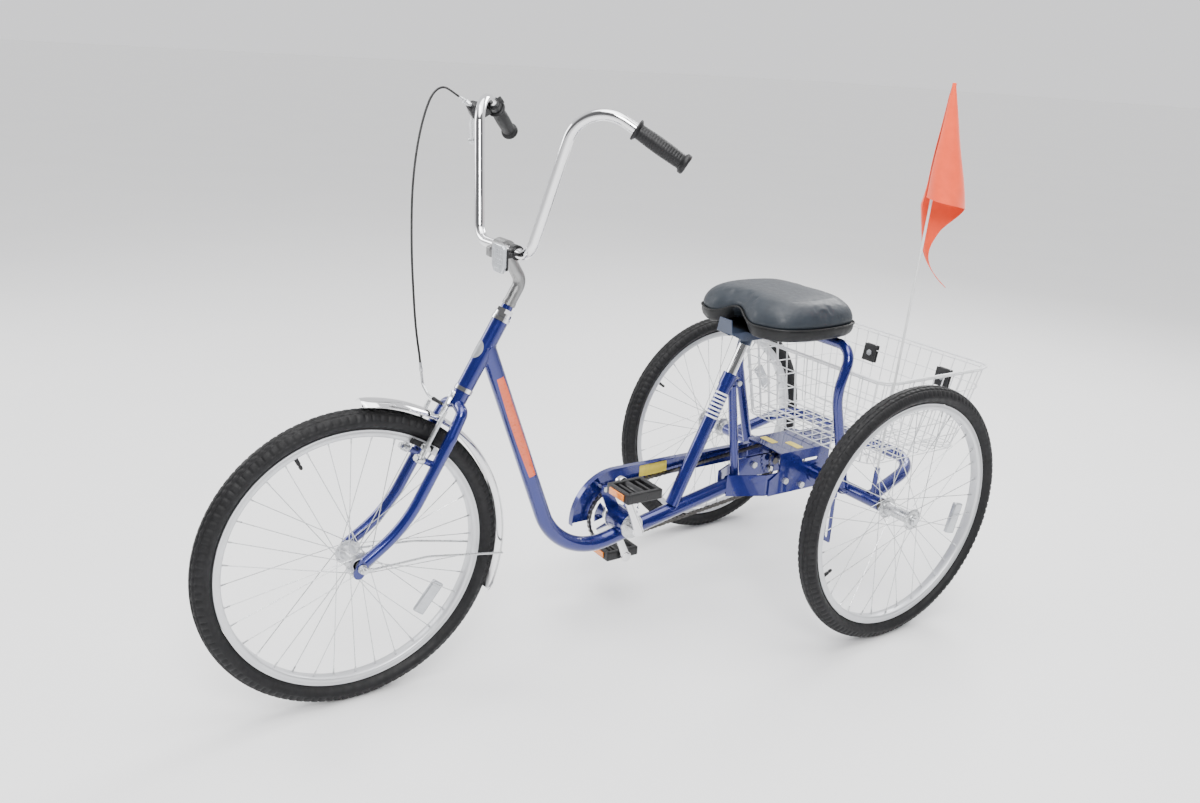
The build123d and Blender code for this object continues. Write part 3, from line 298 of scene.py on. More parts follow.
def dress(piece, body, slot, *nodes):
    """Puts a piece on its body, in place of the CAD nodes that it stands for; the slot argument is not used.
    """
    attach(piece, body)
    if nodes:
        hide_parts(*nodes)
    return piece


# ---------------------------------------------------------------- materials


def surface(name, colour, metallic=0.0, rough=0.4, spread=0.1, patch=18.0, grain=900.0, bump=0.05,
            tint=0.08, coat=0.0, distance=0.0004, dust=0.0, specular=0.5, flake=0.0):
    """A worn, slightly uneven finish: patchy tint and roughness, fine grain, and dust on what faces up."""
    made = bpy.data.materials.new(name)
    made.use_nodes = True
    tree = made.node_tree
    nodes, links = tree.nodes, tree.links
    shader = nodes["Principled BSDF"]
    shader.inputs["Metallic"].default_value = metallic
    shader.inputs["Specular IOR Level"].default_value = specular
    shader.inputs["Coat Weight"].default_value = coat
    shader.inputs["Coat Roughness"].default_value = 0.06
    where = nodes.new("ShaderNodeTexCoord").outputs["Object"]

    def noise(scale, detail=4.0):
        node = nodes.new("ShaderNodeTexNoise")
        node.inputs["Scale"].default_value = scale
        node.inputs["Detail"].default_value = detail
        links.new(where, node.inputs["Vector"])
        return node.outputs["Fac"]

    def spread_range(value, low_value, high_value):
        node = nodes.new("ShaderNodeMapRange")
        node.inputs["From Min"].default_value = 0.3
        node.inputs["From Max"].default_value = 0.7
        node.inputs["To Min"].default_value = low_value
        node.inputs["To Max"].default_value = high_value
        links.new(value, node.inputs["Value"])
        return node.outputs["Result"]

    patches = noise(patch)
    mix = nodes.new("ShaderNodeMix")
    mix.data_type = "RGBA"
    mix.inputs["A"].default_value = (*[c * (1 - tint) for c in colour], 1)
    mix.inputs["B"].default_value = (*[min(1.0, c * (1 + tint)) for c in colour], 1)
    links.new(spread_range(patches, 0.0, 1.0), mix.inputs["Factor"])
    result = mix.outputs["Result"]
    if dust:
        facing = nodes.new("ShaderNodeNewGeometry")
        split = nodes.new("ShaderNodeSeparateXYZ")
        links.new(facing.outputs["Normal"], split.inputs["Vector"])
        amount = nodes.new("ShaderNodeMath")
        amount.operation = "MULTIPLY"
        amount.use_clamp = True
        links.new(split.outputs["Z"], amount.inputs[0])
        links.new(spread_range(noise(42.0, 8.0), 0.0, dust), amount.inputs[1])
        dusty = nodes.new("ShaderNodeMix")
        dusty.data_type = "RGBA"
        dusty.inputs["B"].default_value = (0.42, 0.4, 0.36, 1)
        links.new(amount.outputs["Value"], dusty.inputs["Factor"])
        links.new(result, dusty.inputs["A"])
        result = dusty.outputs["Result"]
    links.new(result, shader.inputs["Base Color"])
    links.new(spread_range(noise(patch * 3.1, 6.0), max(0.02, rough - spread), rough + spread),
              shader.inputs["Roughness"])
    height = noise(grain, 3.0)
    relief = nodes.new("ShaderNodeBump")
    relief.inputs["Strength"].default_value = bump
    relief.inputs["Distance"].default_value = distance
    links.new(height, relief.inputs["Height"])
    links.new(relief.outputs["Normal"], shader.inputs["Normal"])
    if flake:
        cells = nodes.new("ShaderNodeTexVoronoi")
        cells.inputs["Scale"].default_value = 2600.0
        links.new(where, cells.inputs["Vector"])
        sparkle = nodes.new("ShaderNodeMix")
        sparkle.data_type = "RGBA"
        sparkle.blend_type = "ADD"
        sparkle.inputs["Factor"].default_value = flake
        links.new(result, sparkle.inputs["A"])
        shade = nodes.new("ShaderNodeHueSaturation")
        shade.inputs["Saturation"].default_value = 0.25
        shade.inputs["Value"].default_value = 0.5
        links.new(cells.outputs["Color"], shade.inputs["Color"])
        links.new(shade.outputs["Color"], sparkle.inputs["B"])
        links.new(sparkle.outputs["Result"], shader.inputs["Base Color"])
    return made


PAINT = surface("blue_paint", (0.002, 0.009, 0.15), 0.55, 0.24, 0.05, 9, 1500, 0.02, 0.1, 1.0, flake=0.012,
                dust=0.008)
CHROME = surface("chrome_plate", (0.8, 0.8, 0.81), 1.0, 0.06, 0.035, 22, 300, 0.01, 0.03, dust=0.012)
CAST = surface("cast_alloy", (0.3, 0.3, 0.3), 1.0, 0.38, 0.08, 40, 1400, 0.12, 0.08)
ALLOY = surface("rim_aluminium", (0.62, 0.63, 0.65), 0.7, 0.42, 0.05, 12, 900, 0.05, 0.04)
STEEL = surface("zinc_steel", (0.6, 0.61, 0.62), 0.9, 0.3, 0.08, 70, 1200, 0.06, 0.08)
DARK = surface("oiled_steel", (0.11, 0.105, 0.1), 1.0, 0.36, 0.1, 90, 1100, 0.12, 0.2)
TYRE = surface("tyre_rubber", (0.006, 0.006, 0.007), 0.0, 0.62, 0.1, 30, 1600, 0.25, 0.25, dust=0.018,
               specular=0.3)
RUBBER = surface("soft_rubber", (0.006, 0.006, 0.007), 0.0, 0.5, 0.1, 60, 2200, 0.2, 0.2, dust=0.01,
                 specular=0.35)
PLASTIC = surface("black_plastic", (0.008, 0.008, 0.009), 0.0, 0.34, 0.08, 60, 2400, 0.15, 0.15, dust=0.01,
                  specular=0.4)
BRACKET = surface("bracket_paint", (0.035, 0.05, 0.09), 0.35, 0.33, 0.06, 40, 1400, 0.08, 0.12, 0.5,
                  dust=0.02)
WHITE = surface("white_coating", (0.8, 0.81, 0.82), 0.0, 0.3, 0.06, 60, 1800, 0.1, 0.04, 0.3)
POLE = surface("pole_fibre", (0.68, 0.69, 0.69), 0.0, 0.34, 0.06, 80, 1500, 0.1, 0.06)
YELLOW = surface("blank_label", (0.75, 0.6, 0.08), 0.0, 0.42, 0.06, 90, 2000, 0.05, 0.08)
LENS = surface("clear_lens", (0.5, 0.52, 0.55), 0.5, 0.12, 0.04, 60, 480, 0.35, 0.08, 0.8)
AMBER = surface("amber_lens", (0.85, 0.24, 0.02), 0.1, 0.15, 0.04, 60, 480, 0.35, 0.1, 0.8)
ORANGE = surface("orange_trim", (0.7, 0.1, 0.02), 0.0, 0.3, 0.05, 60, 1500, 0.05, 0.1, 0.6)
STRIPE = surface("white_decal", (0.78, 0.79, 0.8), 0.0, 0.28, 0.05, 60, 1500, 0.05, 0.04, 0.6)
GREY = surface("grey_trim", (0.3, 0.31, 0.33), 0.2, 0.35, 0.06, 60, 1500, 0.06, 0.1)


def vinyl(name, colour, rough):
    """Grained vinyl: cells pressed into the surface."""
    made = surface(name, colour, 0.0, rough, 0.07, 26, 1400, 0.1, 0.12, 0.06, dust=0.012, specular=0.4)
    nodes, links = made.node_tree.nodes, made.node_tree.links
    shader = nodes["Principled BSDF"]
    cells = nodes.new("ShaderNodeTexVoronoi")
    cells.feature = "DISTANCE_TO_EDGE"
    cells.inputs["Scale"].default_value = 420.0
    links.new(nodes["Texture Coordinate"].outputs["Object"], cells.inputs["Vector"])
    relief = nodes.new("ShaderNodeBump")
    relief.inputs["Strength"].default_value = 0.35
    relief.inputs["Distance"].default_value = 0.0004
    links.new(cells.outputs["Distance"], relief.inputs["Height"])
    links.new(nodes["Bump"].outputs["Normal"], relief.inputs["Normal"])
    links.new(relief.outputs["Normal"], shader.inputs["Normal"])
    return made


VINYL = vinyl("seat_top_vinyl", (0.018, 0.024, 0.032), 0.52)
# The skirt takes a much darker copy of the seat vinyl: painted shade below the overhanging pad.
SKIRT_PAINTED_SHADE = vinyl("seat_skirt_vinyl_painted_shade", (0.003, 0.0033, 0.004), 0.55)


def nylon(name, colour):
    """Thin woven cloth that lets some light through."""
    made = surface(name, colour, 0.0, 0.62, 0.06, 30, 1800, 0.1, 0.1)
    nodes, links = made.node_tree.nodes, made.node_tree.links
    shader = nodes["Principled BSDF"]
    shader.inputs["Sheen Weight"].default_value = 0.3
    shader.inputs["Subsurface Weight"].default_value = 0.15
    shader.inputs["Subsurface Radius"].default_value = (0.004, 0.002, 0.001)
    weave = nodes.new("ShaderNodeTexWave")
    weave.inputs["Scale"].default_value = 600.0
    links.new(nodes["Texture Coordinate"].outputs["Object"], weave.inputs["Vector"])
    relief = nodes.new("ShaderNodeBump")
    relief.inputs["Strength"].default_value = 0.25
    relief.inputs["Distance"].default_value = 0.0003
    links.new(weave.outputs["Fac"], relief.inputs["Height"])
    links.new(nodes["Bump"].outputs["Normal"], relief.inputs["Normal"])
    links.new(relief.outputs["Normal"], shader.inputs["Normal"])
    return made


FLAG = nylon("flag_nylon", (0.95, 0.075, 0.008))

CAD_FINISH = {
    "frame_blue": PAINT, "chrome": CHROME, "cast_grey": CAST, "rim_alloy": ALLOY, "bright_steel": STEEL,
    "dark_steel": DARK, "tyre_black": TYRE, "rubber_black": RUBBER, "black_plastic": PLASTIC,
    "reflector_clear": LENS, "bracket_grey": BRACKET, "seat_vinyl": VINYL, "basket_white": WHITE,
    "pole_white": POLE, "flag_orange": FLAG, "chain_steel": DARK,
}


def finish_cad_nodes():
    """Gives each CAD node the full material of its slot."""
    slots = {row["node"]: row["material_slot"] for row in frame["record"]["subparts"]}
    for name, node in frame["nodes"].items():
        for place in node.material_slots:
            place.link = "OBJECT"
            place.material = PAINT if name == "slotted_strap" else CAD_FINISH[slots[name]]


# ---------------------------------------------------------------- wheels

TREAD_SEGMENTS = 720


def tread_depth(turn, across):
    """How deep the tread pattern is at a turn round the wheel and a place across it, -1 to 1."""
    side = abs(across)
    wave = 0.03 * math.sin(turn * 60)
    depth = 0.0
    for groove, width in ((0.16, 0.035), (0.4, 0.04)):
        near = abs(side + wave * (1 if groove < 0.3 else 0) - groove)
        if near < width:
            depth = max(depth, 1.0)
    phase = (turn * 120 / (2 * math.pi) + (0.5 if across > 0 else 0.0)) % 1.0
    if 0.42 < side < 0.86 and phase < 0.32:
        depth = max(depth, 0.9)
    if 0.2 < side < 0.37:
        sipe = (turn * 120 / (2 * math.pi) + side) % 1.0
        if sipe < 0.3:
            depth = max(depth, 0.75)
    return depth * 0.0021


def make_tyre(name, x, y, body):
    half = 0.025
    fat = TYRE_R - half
    profile = []
    for k in range(5):
        t = k / 5
        profile.append((-0.0119 - 0.0125 * t**1.6, 0.2867 + 0.0105 * t, None))
    steps = 46
    for k in range(steps + 1):
        a = math.pi * k / steps
        across = -math.cos(a)
        profile.append((half * across, fat + half * math.sin(a), across))
    profile += [(-p[0], p[1], None) for p in reversed(profile[:5])]
    inner = [(0.009, 0.2885), (0.0195, 0.299), (0.0205, 0.31), (0.0, 0.3232), (-0.0205, 0.31),
             (-0.0195, 0.299), (-0.009, 0.2885)]
    count = len(profile) + len(inner)
    shape = Shape()
    verts = []
    for s in range(TREAD_SEGMENTS):
        turn = 2 * math.pi * s / TREAD_SEGMENTS
        c, n = math.cos(turn), math.sin(turn)
        for px, pr, across in profile:
            if across is not None:
                out = math.sqrt(max(0.0, 1 - across**2))
                place = math.atan2(across, out) / (math.pi / 2)
                dip = tread_depth(turn, place)
                rib = 0.0005 if 0.9 < abs(place) < 0.94 else 0.0
                px -= (dip - rib) * across * 0.9
                pr -= dip * out
            verts.append((x + px, y + pr * c, AXLE_Z + pr * n))
        verts += [(x + px, y + pr * c, AXLE_Z + pr * n) for px, pr in inner]
    faces = []
    for s in range(TREAD_SEGMENTS):
        t = (s + 1) % TREAD_SEGMENTS
        for i in range(count):
            j = (i + 1) % count
            faces.append((s * count + i, s * count + j, t * count + j, t * count + i))
    shape.add(verts, faces)
    dress(shape.build(name + "_tread", TYRE, 50), body, "tyre_black", name)


def make_rim(name, x, y, valve_angle, body):
    """The CAD rim's own section turned finely, with wear grooves, eyelets and the valve."""
    half, flange, bead, floor = 0.0135, 0.2855, 0.0121, 0.277
    side = [(-half, flange), (-half, flange - 0.0012), (-half + 0.0003, flange - 0.0045),
            (-half, flange - 0.005), (-half, 0.2735), (-half + 0.0012, 0.2712), (-half + 0.0035, 0.2695)]
    well = [(-bead, flange + 0.0003), (-half + 0.0004, flange + 0.0003)]
    outer = side + [(-px, pr) for px, pr in reversed(side)]
    inside = [(half - 0.0004, flange + 0.0003), (bead, flange + 0.0003), (bead, floor),
              (0.008, floor - 0.0001),
              (0.0065, floor - 0.0025), (-0.0065, floor - 0.0025), (-0.008, floor - 0.0001), (-bead, floor)]
    shape = Shape()
    shape.lathe(outer + inside + well, (x, y, AXLE_Z), (1, 0, 0), 288, closed=True)
    for k in range(36):
        a = 2 * math.pi * k / 36
        out = Vector((0, math.cos(a), math.sin(a)))
        lean = (-1 if k % 2 == 0 else 1) * 0.003
        shape.lathe([(0.2688, 0.0024), (0.2688, 0.0035), (0.2697, 0.0038), (0.2702, 0.0024)],
                    (x + lean, y, AXLE_Z), out, 12, closed=True)
    dress(shape.build(name + "_section", ALLOY), body, "rim_alloy", name)
    a = math.radians(valve_angle)
    out = Vector((0, math.cos(a), math.sin(a)))
    valve = Shape()
    valve.lathe([(0.2385, 0.0), (0.2385, 0.0022), (0.241, 0.0037), (0.2465, 0.0039), (0.2475, 0.003),
                 (0.2478, 0.003), (0.25, 0.0032), (0.2515, 0.0041), (0.262, 0.0043), (0.2697, 0.0048),
                 (0.2697, 0.0)], (x, y, AXLE_Z), out, 16)
    dress(valve.build(name + "_valve", RUBBER), body, "rubber_black")


def make_hub(name, x, y, flange_low, flange_high, barrel, bore, body, slot, finish):
    """A turned hub: flared flanges, a waisted barrel and lips at the ends."""
    b = bore * MM
    profile = []
    for flange, way in ((flange_low, 1), (flange_high, -1)):
        f = flange * MM
        part = [(f - way * 0.004, b), (f - way * 0.004, 0.0135), (f - way * 0.0018, 0.0145),
                (f - way * 0.0015, 0.026), (f - way * 0.0008, 0.027), (f + way * 0.0008, 0.027),
                (f + way * 0.0015, 0.026), (f + way * 0.0015, 0.0175),
                (f + way * 0.006, barrel * MM + 0.0006), (f + way * 0.016, barrel * MM - 0.002)]
        profile += part if way > 0 else list(reversed(part))
    shape = Shape()
    shape.lathe(profile, (x, y, AXLE_Z), (1, 0, 0), 72, closed=True)
    dress(shape.build(name + "_turned", finish), body, slot, name)


def make_spokes(name, x, y, flange_low, flange_high, body):
    """Thirty-six spokes, each with its elbow and head at the flange and a square-shouldered nipple."""
    shape = Shape()
    lean_out, side_gap, reach = 0.0012, 0.0028, 0.2692
    for flange, first, side in ((flange_low, 0.0, -1), (flange_high, 10.0, 1)):
        for k in range(18):
            way = 1 if k % 2 == 0 else -1
            hub_angle = math.radians(first + k * 20.0)
            rim_angle = hub_angle + way * math.radians(60)
            stand = side_gap + lean_out if way > 0 else -side_gap
            start = Vector((x + flange * MM + side * stand, y + 0.0225 * math.cos(hub_angle),
                            AXLE_Z + 0.0225 * math.sin(hub_angle)))
            end = Vector((x + side * 0.003, y + reach * math.cos(rim_angle),
                          AXLE_Z + reach * math.sin(rim_angle)))
            along = (end - start).normalized()
            across = Vector((-side * way, 0, 0))
            elbow = rounded([start + across * 0.0055, start + across * 0.0003, start + along * 0.006], 0.0022)
            shape.tube(elbow + [end - along * 0.012], 0.00098, 8)
            head = start + across * 0.0052
            shape.lathe([(0, 0.0), (0, 0.0019), (0.0006, 0.0019), (0.0011, 0.001), (0.0011, 0.0)], head,
                        across, 10)
            shape.lathe([(-0.013, 0.001), (-0.013, 0.0017), (-0.0035, 0.002), (-0.0025, 0.0024),
                         (0.0, 0.0024), (0.0, 0.001)], end, along, 8)
    dress(shape.build(name + "_laced", STEEL), body, "bright_steel", name)


def make_wheel_lens(name, x, y, angle, thick, body):
    """A clip-on wheel reflector: a rounded shell with seven short ribs across each face."""
    a = math.radians(angle)
    out = Vector((0, math.cos(a), math.sin(a)))
    centre = Vector((x, y, AXLE_Z)) + out * 0.215
    along = Vector((1, 0, 0)).cross(out)
    shape = Shape()
    shape.box(centre, (0.0815, 0.0295, 2 * thick * MM - 0.0008), [along, out, Vector((1, 0, 0))], 0.0046)
    dress(shape.build(name + "_shell", LENS), body, "reflector_clear", name)
    ribs = Shape()
    for side in (-1, 1):
        face = centre + Vector((side * (thick * MM - 0.0004), 0, 0))
        for k in range(-3, 4):
            ribs.box(face + along * 0.0095 * k, (0.0012, 0.019, 0.0007), [along, out, Vector((1, 0, 0))],
                     0.0003)
    dress(ribs.build(name + "_ribs", LENS), body, "reflector_clear")


WHEELS = (
    ("front", 0.0, FRONT_Y, "front_wheel", -32, 32, 15, 9.0, 115, -38, 5.3),
    ("left", HALF_TRACK, REAR_Y, "left_wheel", -42, 37, 17, 10.0, 205, -14, 6.9),
    ("right", -HALF_TRACK, REAR_Y, "drive_axle", -37, 42, 17, 7.6, 145, 35, 6.1),
)


def make_wheels():
    for name, x, y, body, low_flange, high_flange, barrel, bore, valve, lens, thick in WHEELS:
        make_tyre(name + "_tyre", x, y, body)
        make_rim(name + "_rim", x, y, valve, body)
        make_spokes(name + "_spokes", x, y, low_flange, high_flange, body)
        finish = ALLOY if name == "front" else STEEL
        slot = "rim_alloy" if name == "front" else "bright_steel"
        make_hub(name + "_hub", x, y, low_flange, high_flange, barrel, bore, body, slot, finish)
        make_wheel_lens(name + "_wheel_reflector", x, y, lens, thick, body)


# ---------------------------------------------------------------- chain drive

LEAN = math.asin((RING_R - SPROCKET_R) / CENTRES)
TILT = math.atan2(BB_RISE, BB_BACK)
UPPER = math.pi / 2 + TILT - LEAN
RUN = CENTRES * math.cos(LEAN)


def chain_point(distance):
    """A point on the chain's pitch line, y and z, after so many metres of chain."""
    distance %= LINKS * PITCH
    sprocket_arc = SPROCKET_R * (math.pi - 2 * LEAN)
    if distance < RUN:
        return Vector((BB.y + RING_R * math.cos(UPPER) + math.sin(UPPER) * distance,
                       BB.z + RING_R * math.sin(UPPER) - math.cos(UPPER) * distance))
    distance -= RUN
    if distance < sprocket_arc:
        a = UPPER - distance / SPROCKET_R
        return Vector((REAR_Y + SPROCKET_R * math.cos(a), AXLE_Z + SPROCKET_R * math.sin(a)))
    distance -= sprocket_arc
    lower = UPPER - (math.pi - 2 * LEAN)
    if distance < RUN:
        return Vector((REAR_Y + SPROCKET_R * math.cos(lower) + math.sin(lower) * distance,
                       AXLE_Z + SPROCKET_R * math.sin(lower) - math.cos(lower) * distance))
    a = lower - (distance - RUN) / RING_R
    return Vector((BB.y + RING_R * math.cos(a), BB.z + RING_R * math.sin(a)))


def make_chain():
    """A roller chain: inner and outer figure-eight plates in turn, pins and rollers."""
    shape = Shape()
    for k in range(LINKS):
        here = chain_point(k * PITCH)
        there = chain_point((k + 1) * PITCH)
        along = Vector((0, there.x - here.x, there.y - here.y)).normalized()
        across = Vector((1, 0, 0)).cross(along)
        start = Vector((CHAIN_X, here.x, here.y))
        outer = k % 2 == 0
        outline = []
        for end, turn in ((PITCH, -90), (0.0, 90)):
            for i in range(9):
                a = math.radians(turn + 180 * i / 8)
                outline.append((end + 0.0039 * math.cos(a), 0.0039 * math.sin(a)))
            outline.append((PITCH / 2, (0.0027 if turn < 0 else -0.0027)))
        for side in (-1, 1):
            low_x = side * (0.0036 if outer else 0.0025)
            high_x = low_x + side * 0.0009
            count = len(outline)
            verts = []
            for x in (low_x, high_x):
                verts += [start + Vector((x, 0, 0)) + along * px + across * py for px, py in outline]
            faces = [(i, (i + 1) % count, count + (i + 1) % count, count + i) for i in range(count)]
            faces += [tuple(range(count)), tuple(range(2 * count - 1, count - 1, -1))]
            shape.add(verts, faces)
        shape.lathe([(-0.0024, 0.0), (-0.0024, 0.0038), (0.0024, 0.0038), (0.0024, 0.0)], start, (1, 0, 0),
                    14)
        shape.lathe([(-0.0052, 0.0), (-0.0052, 0.0014), (-0.0049, 0.0018), (0.0049, 0.0018), (0.0052, 0.0014),
                     (0.0052, 0.0)], start, (1, 0, 0), 8)
    dress(shape.build("chain_links", DARK, 30), "frame", "chain_steel", "chain")


def toothed_outline(teeth, pitch_r, phase):
    """Half-round seats for the rollers, and pointed teeth between them."""
    points = []
    seat = 0.0041
    for k in range(teeth):
        a = phase + 2 * math.pi * k / teeth
        centre = Vector((pitch_r * math.cos(a), pitch_r * math.sin(a)))
        for i in range(7):
            b = a + math.radians(118) + math.radians(124) * i / 6
            points.append((centre.x + seat * math.cos(b), centre.y + seat * math.sin(b)))
        tip = a + math.pi / teeth
        for off in (-0.11, 0.11):
            b = tip + off * 2 * math.pi / teeth
            points.append(((pitch_r + 0.0029) * math.cos(b), (pitch_r + 0.0029) * math.sin(b)))
    return points


def make_sprockets():
    ring_phase = UPPER
    step = (-RUN) % PITCH
    sprocket_phase = UPPER - step / SPROCKET_R
    holes = [circle(0.014, 40)]
    for k in range(5):
        a = math.radians(90 + 72 * k)
        hole = []
        for i in range(13):
            b = a + math.radians(-25 + 50 * i / 12)
            hole.append((0.058 * math.cos(b), 0.058 * math.sin(b)))
        for i in range(13):
            b = a + math.radians(20 - 40 * i / 12)
            hole.append((0.031 * math.cos(b), 0.031 * math.sin(b)))
        holes.append(hole)
    ring = plate("chainring_teeth", [toothed_outline(RING_TEETH, RING_R, ring_phase), *holes], 0.0022,
                 (CHAIN_X - 0.0011, BB.y, BB.z), (0, 1, 0), (1, 0, 0), CHROME)
    dress(ring, "crankset", "bright_steel", "chainring")
    holes = [circle(0.012, 32)] + [circle(0.009, 24, (0.042 * math.cos(a), 0.042 * math.sin(a)))
                                   for a in (math.radians(60 * k) for k in range(6))]
    gear = plate("sprocket_teeth", [toothed_outline(SPROCKET_TEETH, SPROCKET_R, sprocket_phase), *holes],
                 0.0022, (CHAIN_X - 0.0011, REAR_Y, AXLE_Z), (0, 1, 0), (1, 0, 0), DARK)
    dress(gear, "drive_axle", "dark_steel", "rear_sprocket")
    boss = Shape()
    boss.lathe([(-0.008, 0.0076), (-0.008, 0.0245), (-0.0065, 0.026), (-0.0025, 0.026), (-0.0012, 0.029),
                (0.0012, 0.029), (0.0025, 0.026), (0.0065, 0.026), (0.008, 0.0245), (0.008, 0.0076)],
               (CHAIN_X, REAR_Y, AXLE_Z), (1, 0, 0), 48, closed=True)
    dress(boss.build("sprocket_boss", STEEL), "drive_axle", "dark_steel")


def make_crank():
    """The forged crank: round axle, tapering arms and swelled eyes."""
    shape = Shape()
    shape.tube([(-0.06, BB.y, BB.z), (0.06, BB.y, BB.z)], 0.0088, 24)
    for side in (-1, 1):
        way = Vector((0, -math.sin(CRANK_ANGLE), math.cos(CRANK_ANGLE))) * side
        flat = Vector((1, 0, 0))
        across = flat.cross(way)
        shape.lathe([(0.0385, 0.0088), (0.0385, 0.0135), (0.042, 0.014), (0.061, 0.0145), (0.063, 0.0115)],
                    (0, BB.y, BB.z), (side, 0, 0), 32)
        sections = 26
        ring = 20
        verts = []
        for i in range(sections + 1):
            t = i / sections
            d = -0.0128 + (CRANK_LENGTH + 0.0258) * t
            waist = 0.0095 + 0.0037 * abs(2 * t - 1) ** 2.2
            if d < 0:
                waist = math.sqrt(max(0.0, 0.0134**2 - d**2))
            if d > CRANK_LENGTH:
                waist = math.sqrt(max(0.0, 0.0134**2 - (d - CRANK_LENGTH) ** 2))
            waist = max(waist, 0.001)
            thick = 0.0059 - 0.0009 * math.sin(math.pi * min(max(t, 0), 1))
            centre = Vector((side * 0.066, BB.y, BB.z)) + way * d
            for k in range(ring):
                a = 2 * math.pi * k / ring
                u = squared(math.cos(a), 0.55)
                v = squared(math.sin(a), 0.55)
                verts.append(centre + across * waist * u + flat * thick * v)
        faces = band_faces(sections, ring) + end_faces(sections, ring)
        shape.add(verts, faces)
        eye = Vector((0, BB.y, BB.z)) + way * CRANK_LENGTH
        shape.lathe([(0.059, 0.0), (0.059, 0.009), (0.0605, 0.0135), (0.073, 0.0142), (0.0745, 0.013),
                     (0.0748, 0.0)],
                    eye, (side, 0, 0), 28)
    dress(shape.build("crank_forging", CHROME, 42), "crankset", "chrome", "crank")


def make_pedals():
    """Rubber-bodied cage pedals with tread bars and amber reflectors front and back."""
    for hand, side in (("left", 1), ("right", -1)):
        way = Vector((0, -math.sin(CRANK_ANGLE), math.cos(CRANK_ANGLE))) * side
        eye = BB + way * CRANK_LENGTH
        mid = eye + Vector((side * (0.078 + 0.043), 0, 0))
        body = "pedal_" + hand
        shape = Shape()
        for end in (-1, 1):
            shape.box(mid + Vector((0, end * 0.042, 0)), (0.086, 0.0115, 0.0235), bevel=0.0028)
            shape.box(mid + Vector((end * 0.0371, 0, 0)), (0.0115, 0.094, 0.0235), bevel=0.0028)
            shape.box(mid + Vector((0, end * 0.0225, 0)), (0.064, 0.0065, 0.018), bevel=0.0016)
            for k in range(-4, 5):
                for top in (-1, 1):
                    shape.box(mid + Vector((k * 0.0088, end * 0.042, top * 0.0113)), (0.0042, 0.009, 0.0014),
                              bevel=0.0005)
            for k in range(-4, 5):
                for top in (-1, 1):
                    shape.box(mid + Vector((end * 0.0371, k * 0.0088, top * 0.0113)), (0.009, 0.0042, 0.0014),
                              bevel=0.0005)
        shape.lathe([(-0.043, 0.0068), (-0.043, 0.0098), (-0.0405, 0.0112), (0.0405, 0.0112), (0.043, 0.0098),
                     (0.043, 0.0068)], mid, (1, 0, 0), 28, closed=True)
        shape.lathe([(0.0424, 0.0), (0.0424, 0.0062), (0.0428, 0.0066)], mid, (side, 0, 0), 20)
        dress(shape.build(body + "_block", PLASTIC, 45), body, "black_plastic", body)
        lens = Shape()
        for end in (-1, 1):
            lens.box(mid + Vector((0, end * 0.0498, 0)), (0.055, 0.0038, 0.0155), bevel=0.0011)
        dress(lens.build(body + "_lenses", AMBER), body, "reflector_clear")


# ---------------------------------------------------------------- steering pieces

BAR_HIGH = Vector((0.21, REAR_Y - 0.877, 1.282))
BAR_TIP = Vector((0.339, REAR_Y - 0.730, 1.166))
BAR_CENTRE = Vector((0, REAR_Y - 0.921, 0.961))
GRIP_WAY = (BAR_TIP - BAR_HIGH).normalized()


def mirrored(point):
    return Vector((-point.x, point.y, point.z))


def make_bars():
    low_left = Vector((0.108, BAR_CENTRE.y, BAR_CENTRE.z))
    tip = BAR_TIP - GRIP_WAY * 0.002
    path = rounded([tip, BAR_HIGH, low_left, mirrored(low_left), mirrored(BAR_HIGH), mirrored(tip)],
                   [0.074, 0.045, 0.045, 0.074], math.radians(3))
    shape = Shape()
    shape.tube(path, BAR_R, 40)
    dress(shape.build("handlebar_tube", CHROME), "steering", "chrome", "handlebar")


def make_grips():
    """Moulded grips: ribs round the body, a flange each end and a domed cap."""
    start_at, length = 0.116, (BAR_TIP - BAR_HIGH).length + 0.004 - 0.116
    profile = [(0.0, 0.0112), (0.0, 0.0195), (0.0012, 0.0209), (0.0038, 0.0209), (0.0052, 0.0185)]
    ribs = 17
    first, last = 0.008, length - 0.013
    for k in range(ribs):
        base = first + (last - first) * k / ribs
        width = (last - first) / ribs
        swell = 0.0147 + 0.0013 * math.sin(math.pi * k / (ribs - 1))
        profile += [(base, swell - 0.0003), (base + width * 0.2, swell), (base + width * 0.75, swell),
                    (base + width * 0.95, swell - 0.0003)]
    profile += [(length - 0.0115, 0.0165), (length - 0.0095, 0.0195), (length - 0.004, 0.0199),
                (length - 0.0012, 0.0185), (length, 0.014), (length, 0.0)]
    for hand, side in (("left", 1), ("right", -1)):
        corner = BAR_HIGH if side > 0 else mirrored(BAR_HIGH)
        way = Vector((GRIP_WAY.x * side, GRIP_WAY.y, GRIP_WAY.z))
        shape = Shape()
        shape.lathe(profile, corner + way * start_at, way, 56)
        dress(shape.build(f"grip_{hand}_moulded", RUBBER, 60), "steering", "rubber_black", f"grip_{hand}")


LEVER_WAY = Vector((-GRIP_WAY.x, GRIP_WAY.y, GRIP_WAY.z))
FORWARD = Vector((0, -0.958, -0.287))
LEVER_OUT = (FORWARD - LEVER_WAY * FORWARD.dot(LEVER_WAY)).normalized()
LEVER_AXIS = LEVER_OUT.cross(LEVER_WAY).normalized()
PERCH = mirrored(BAR_HIGH) + LEVER_WAY * 0.104


def lever_spot(out, along, across=0.0):
    return PERCH + (LEVER_OUT * out + LEVER_WAY * along + LEVER_AXIS * across) * MM


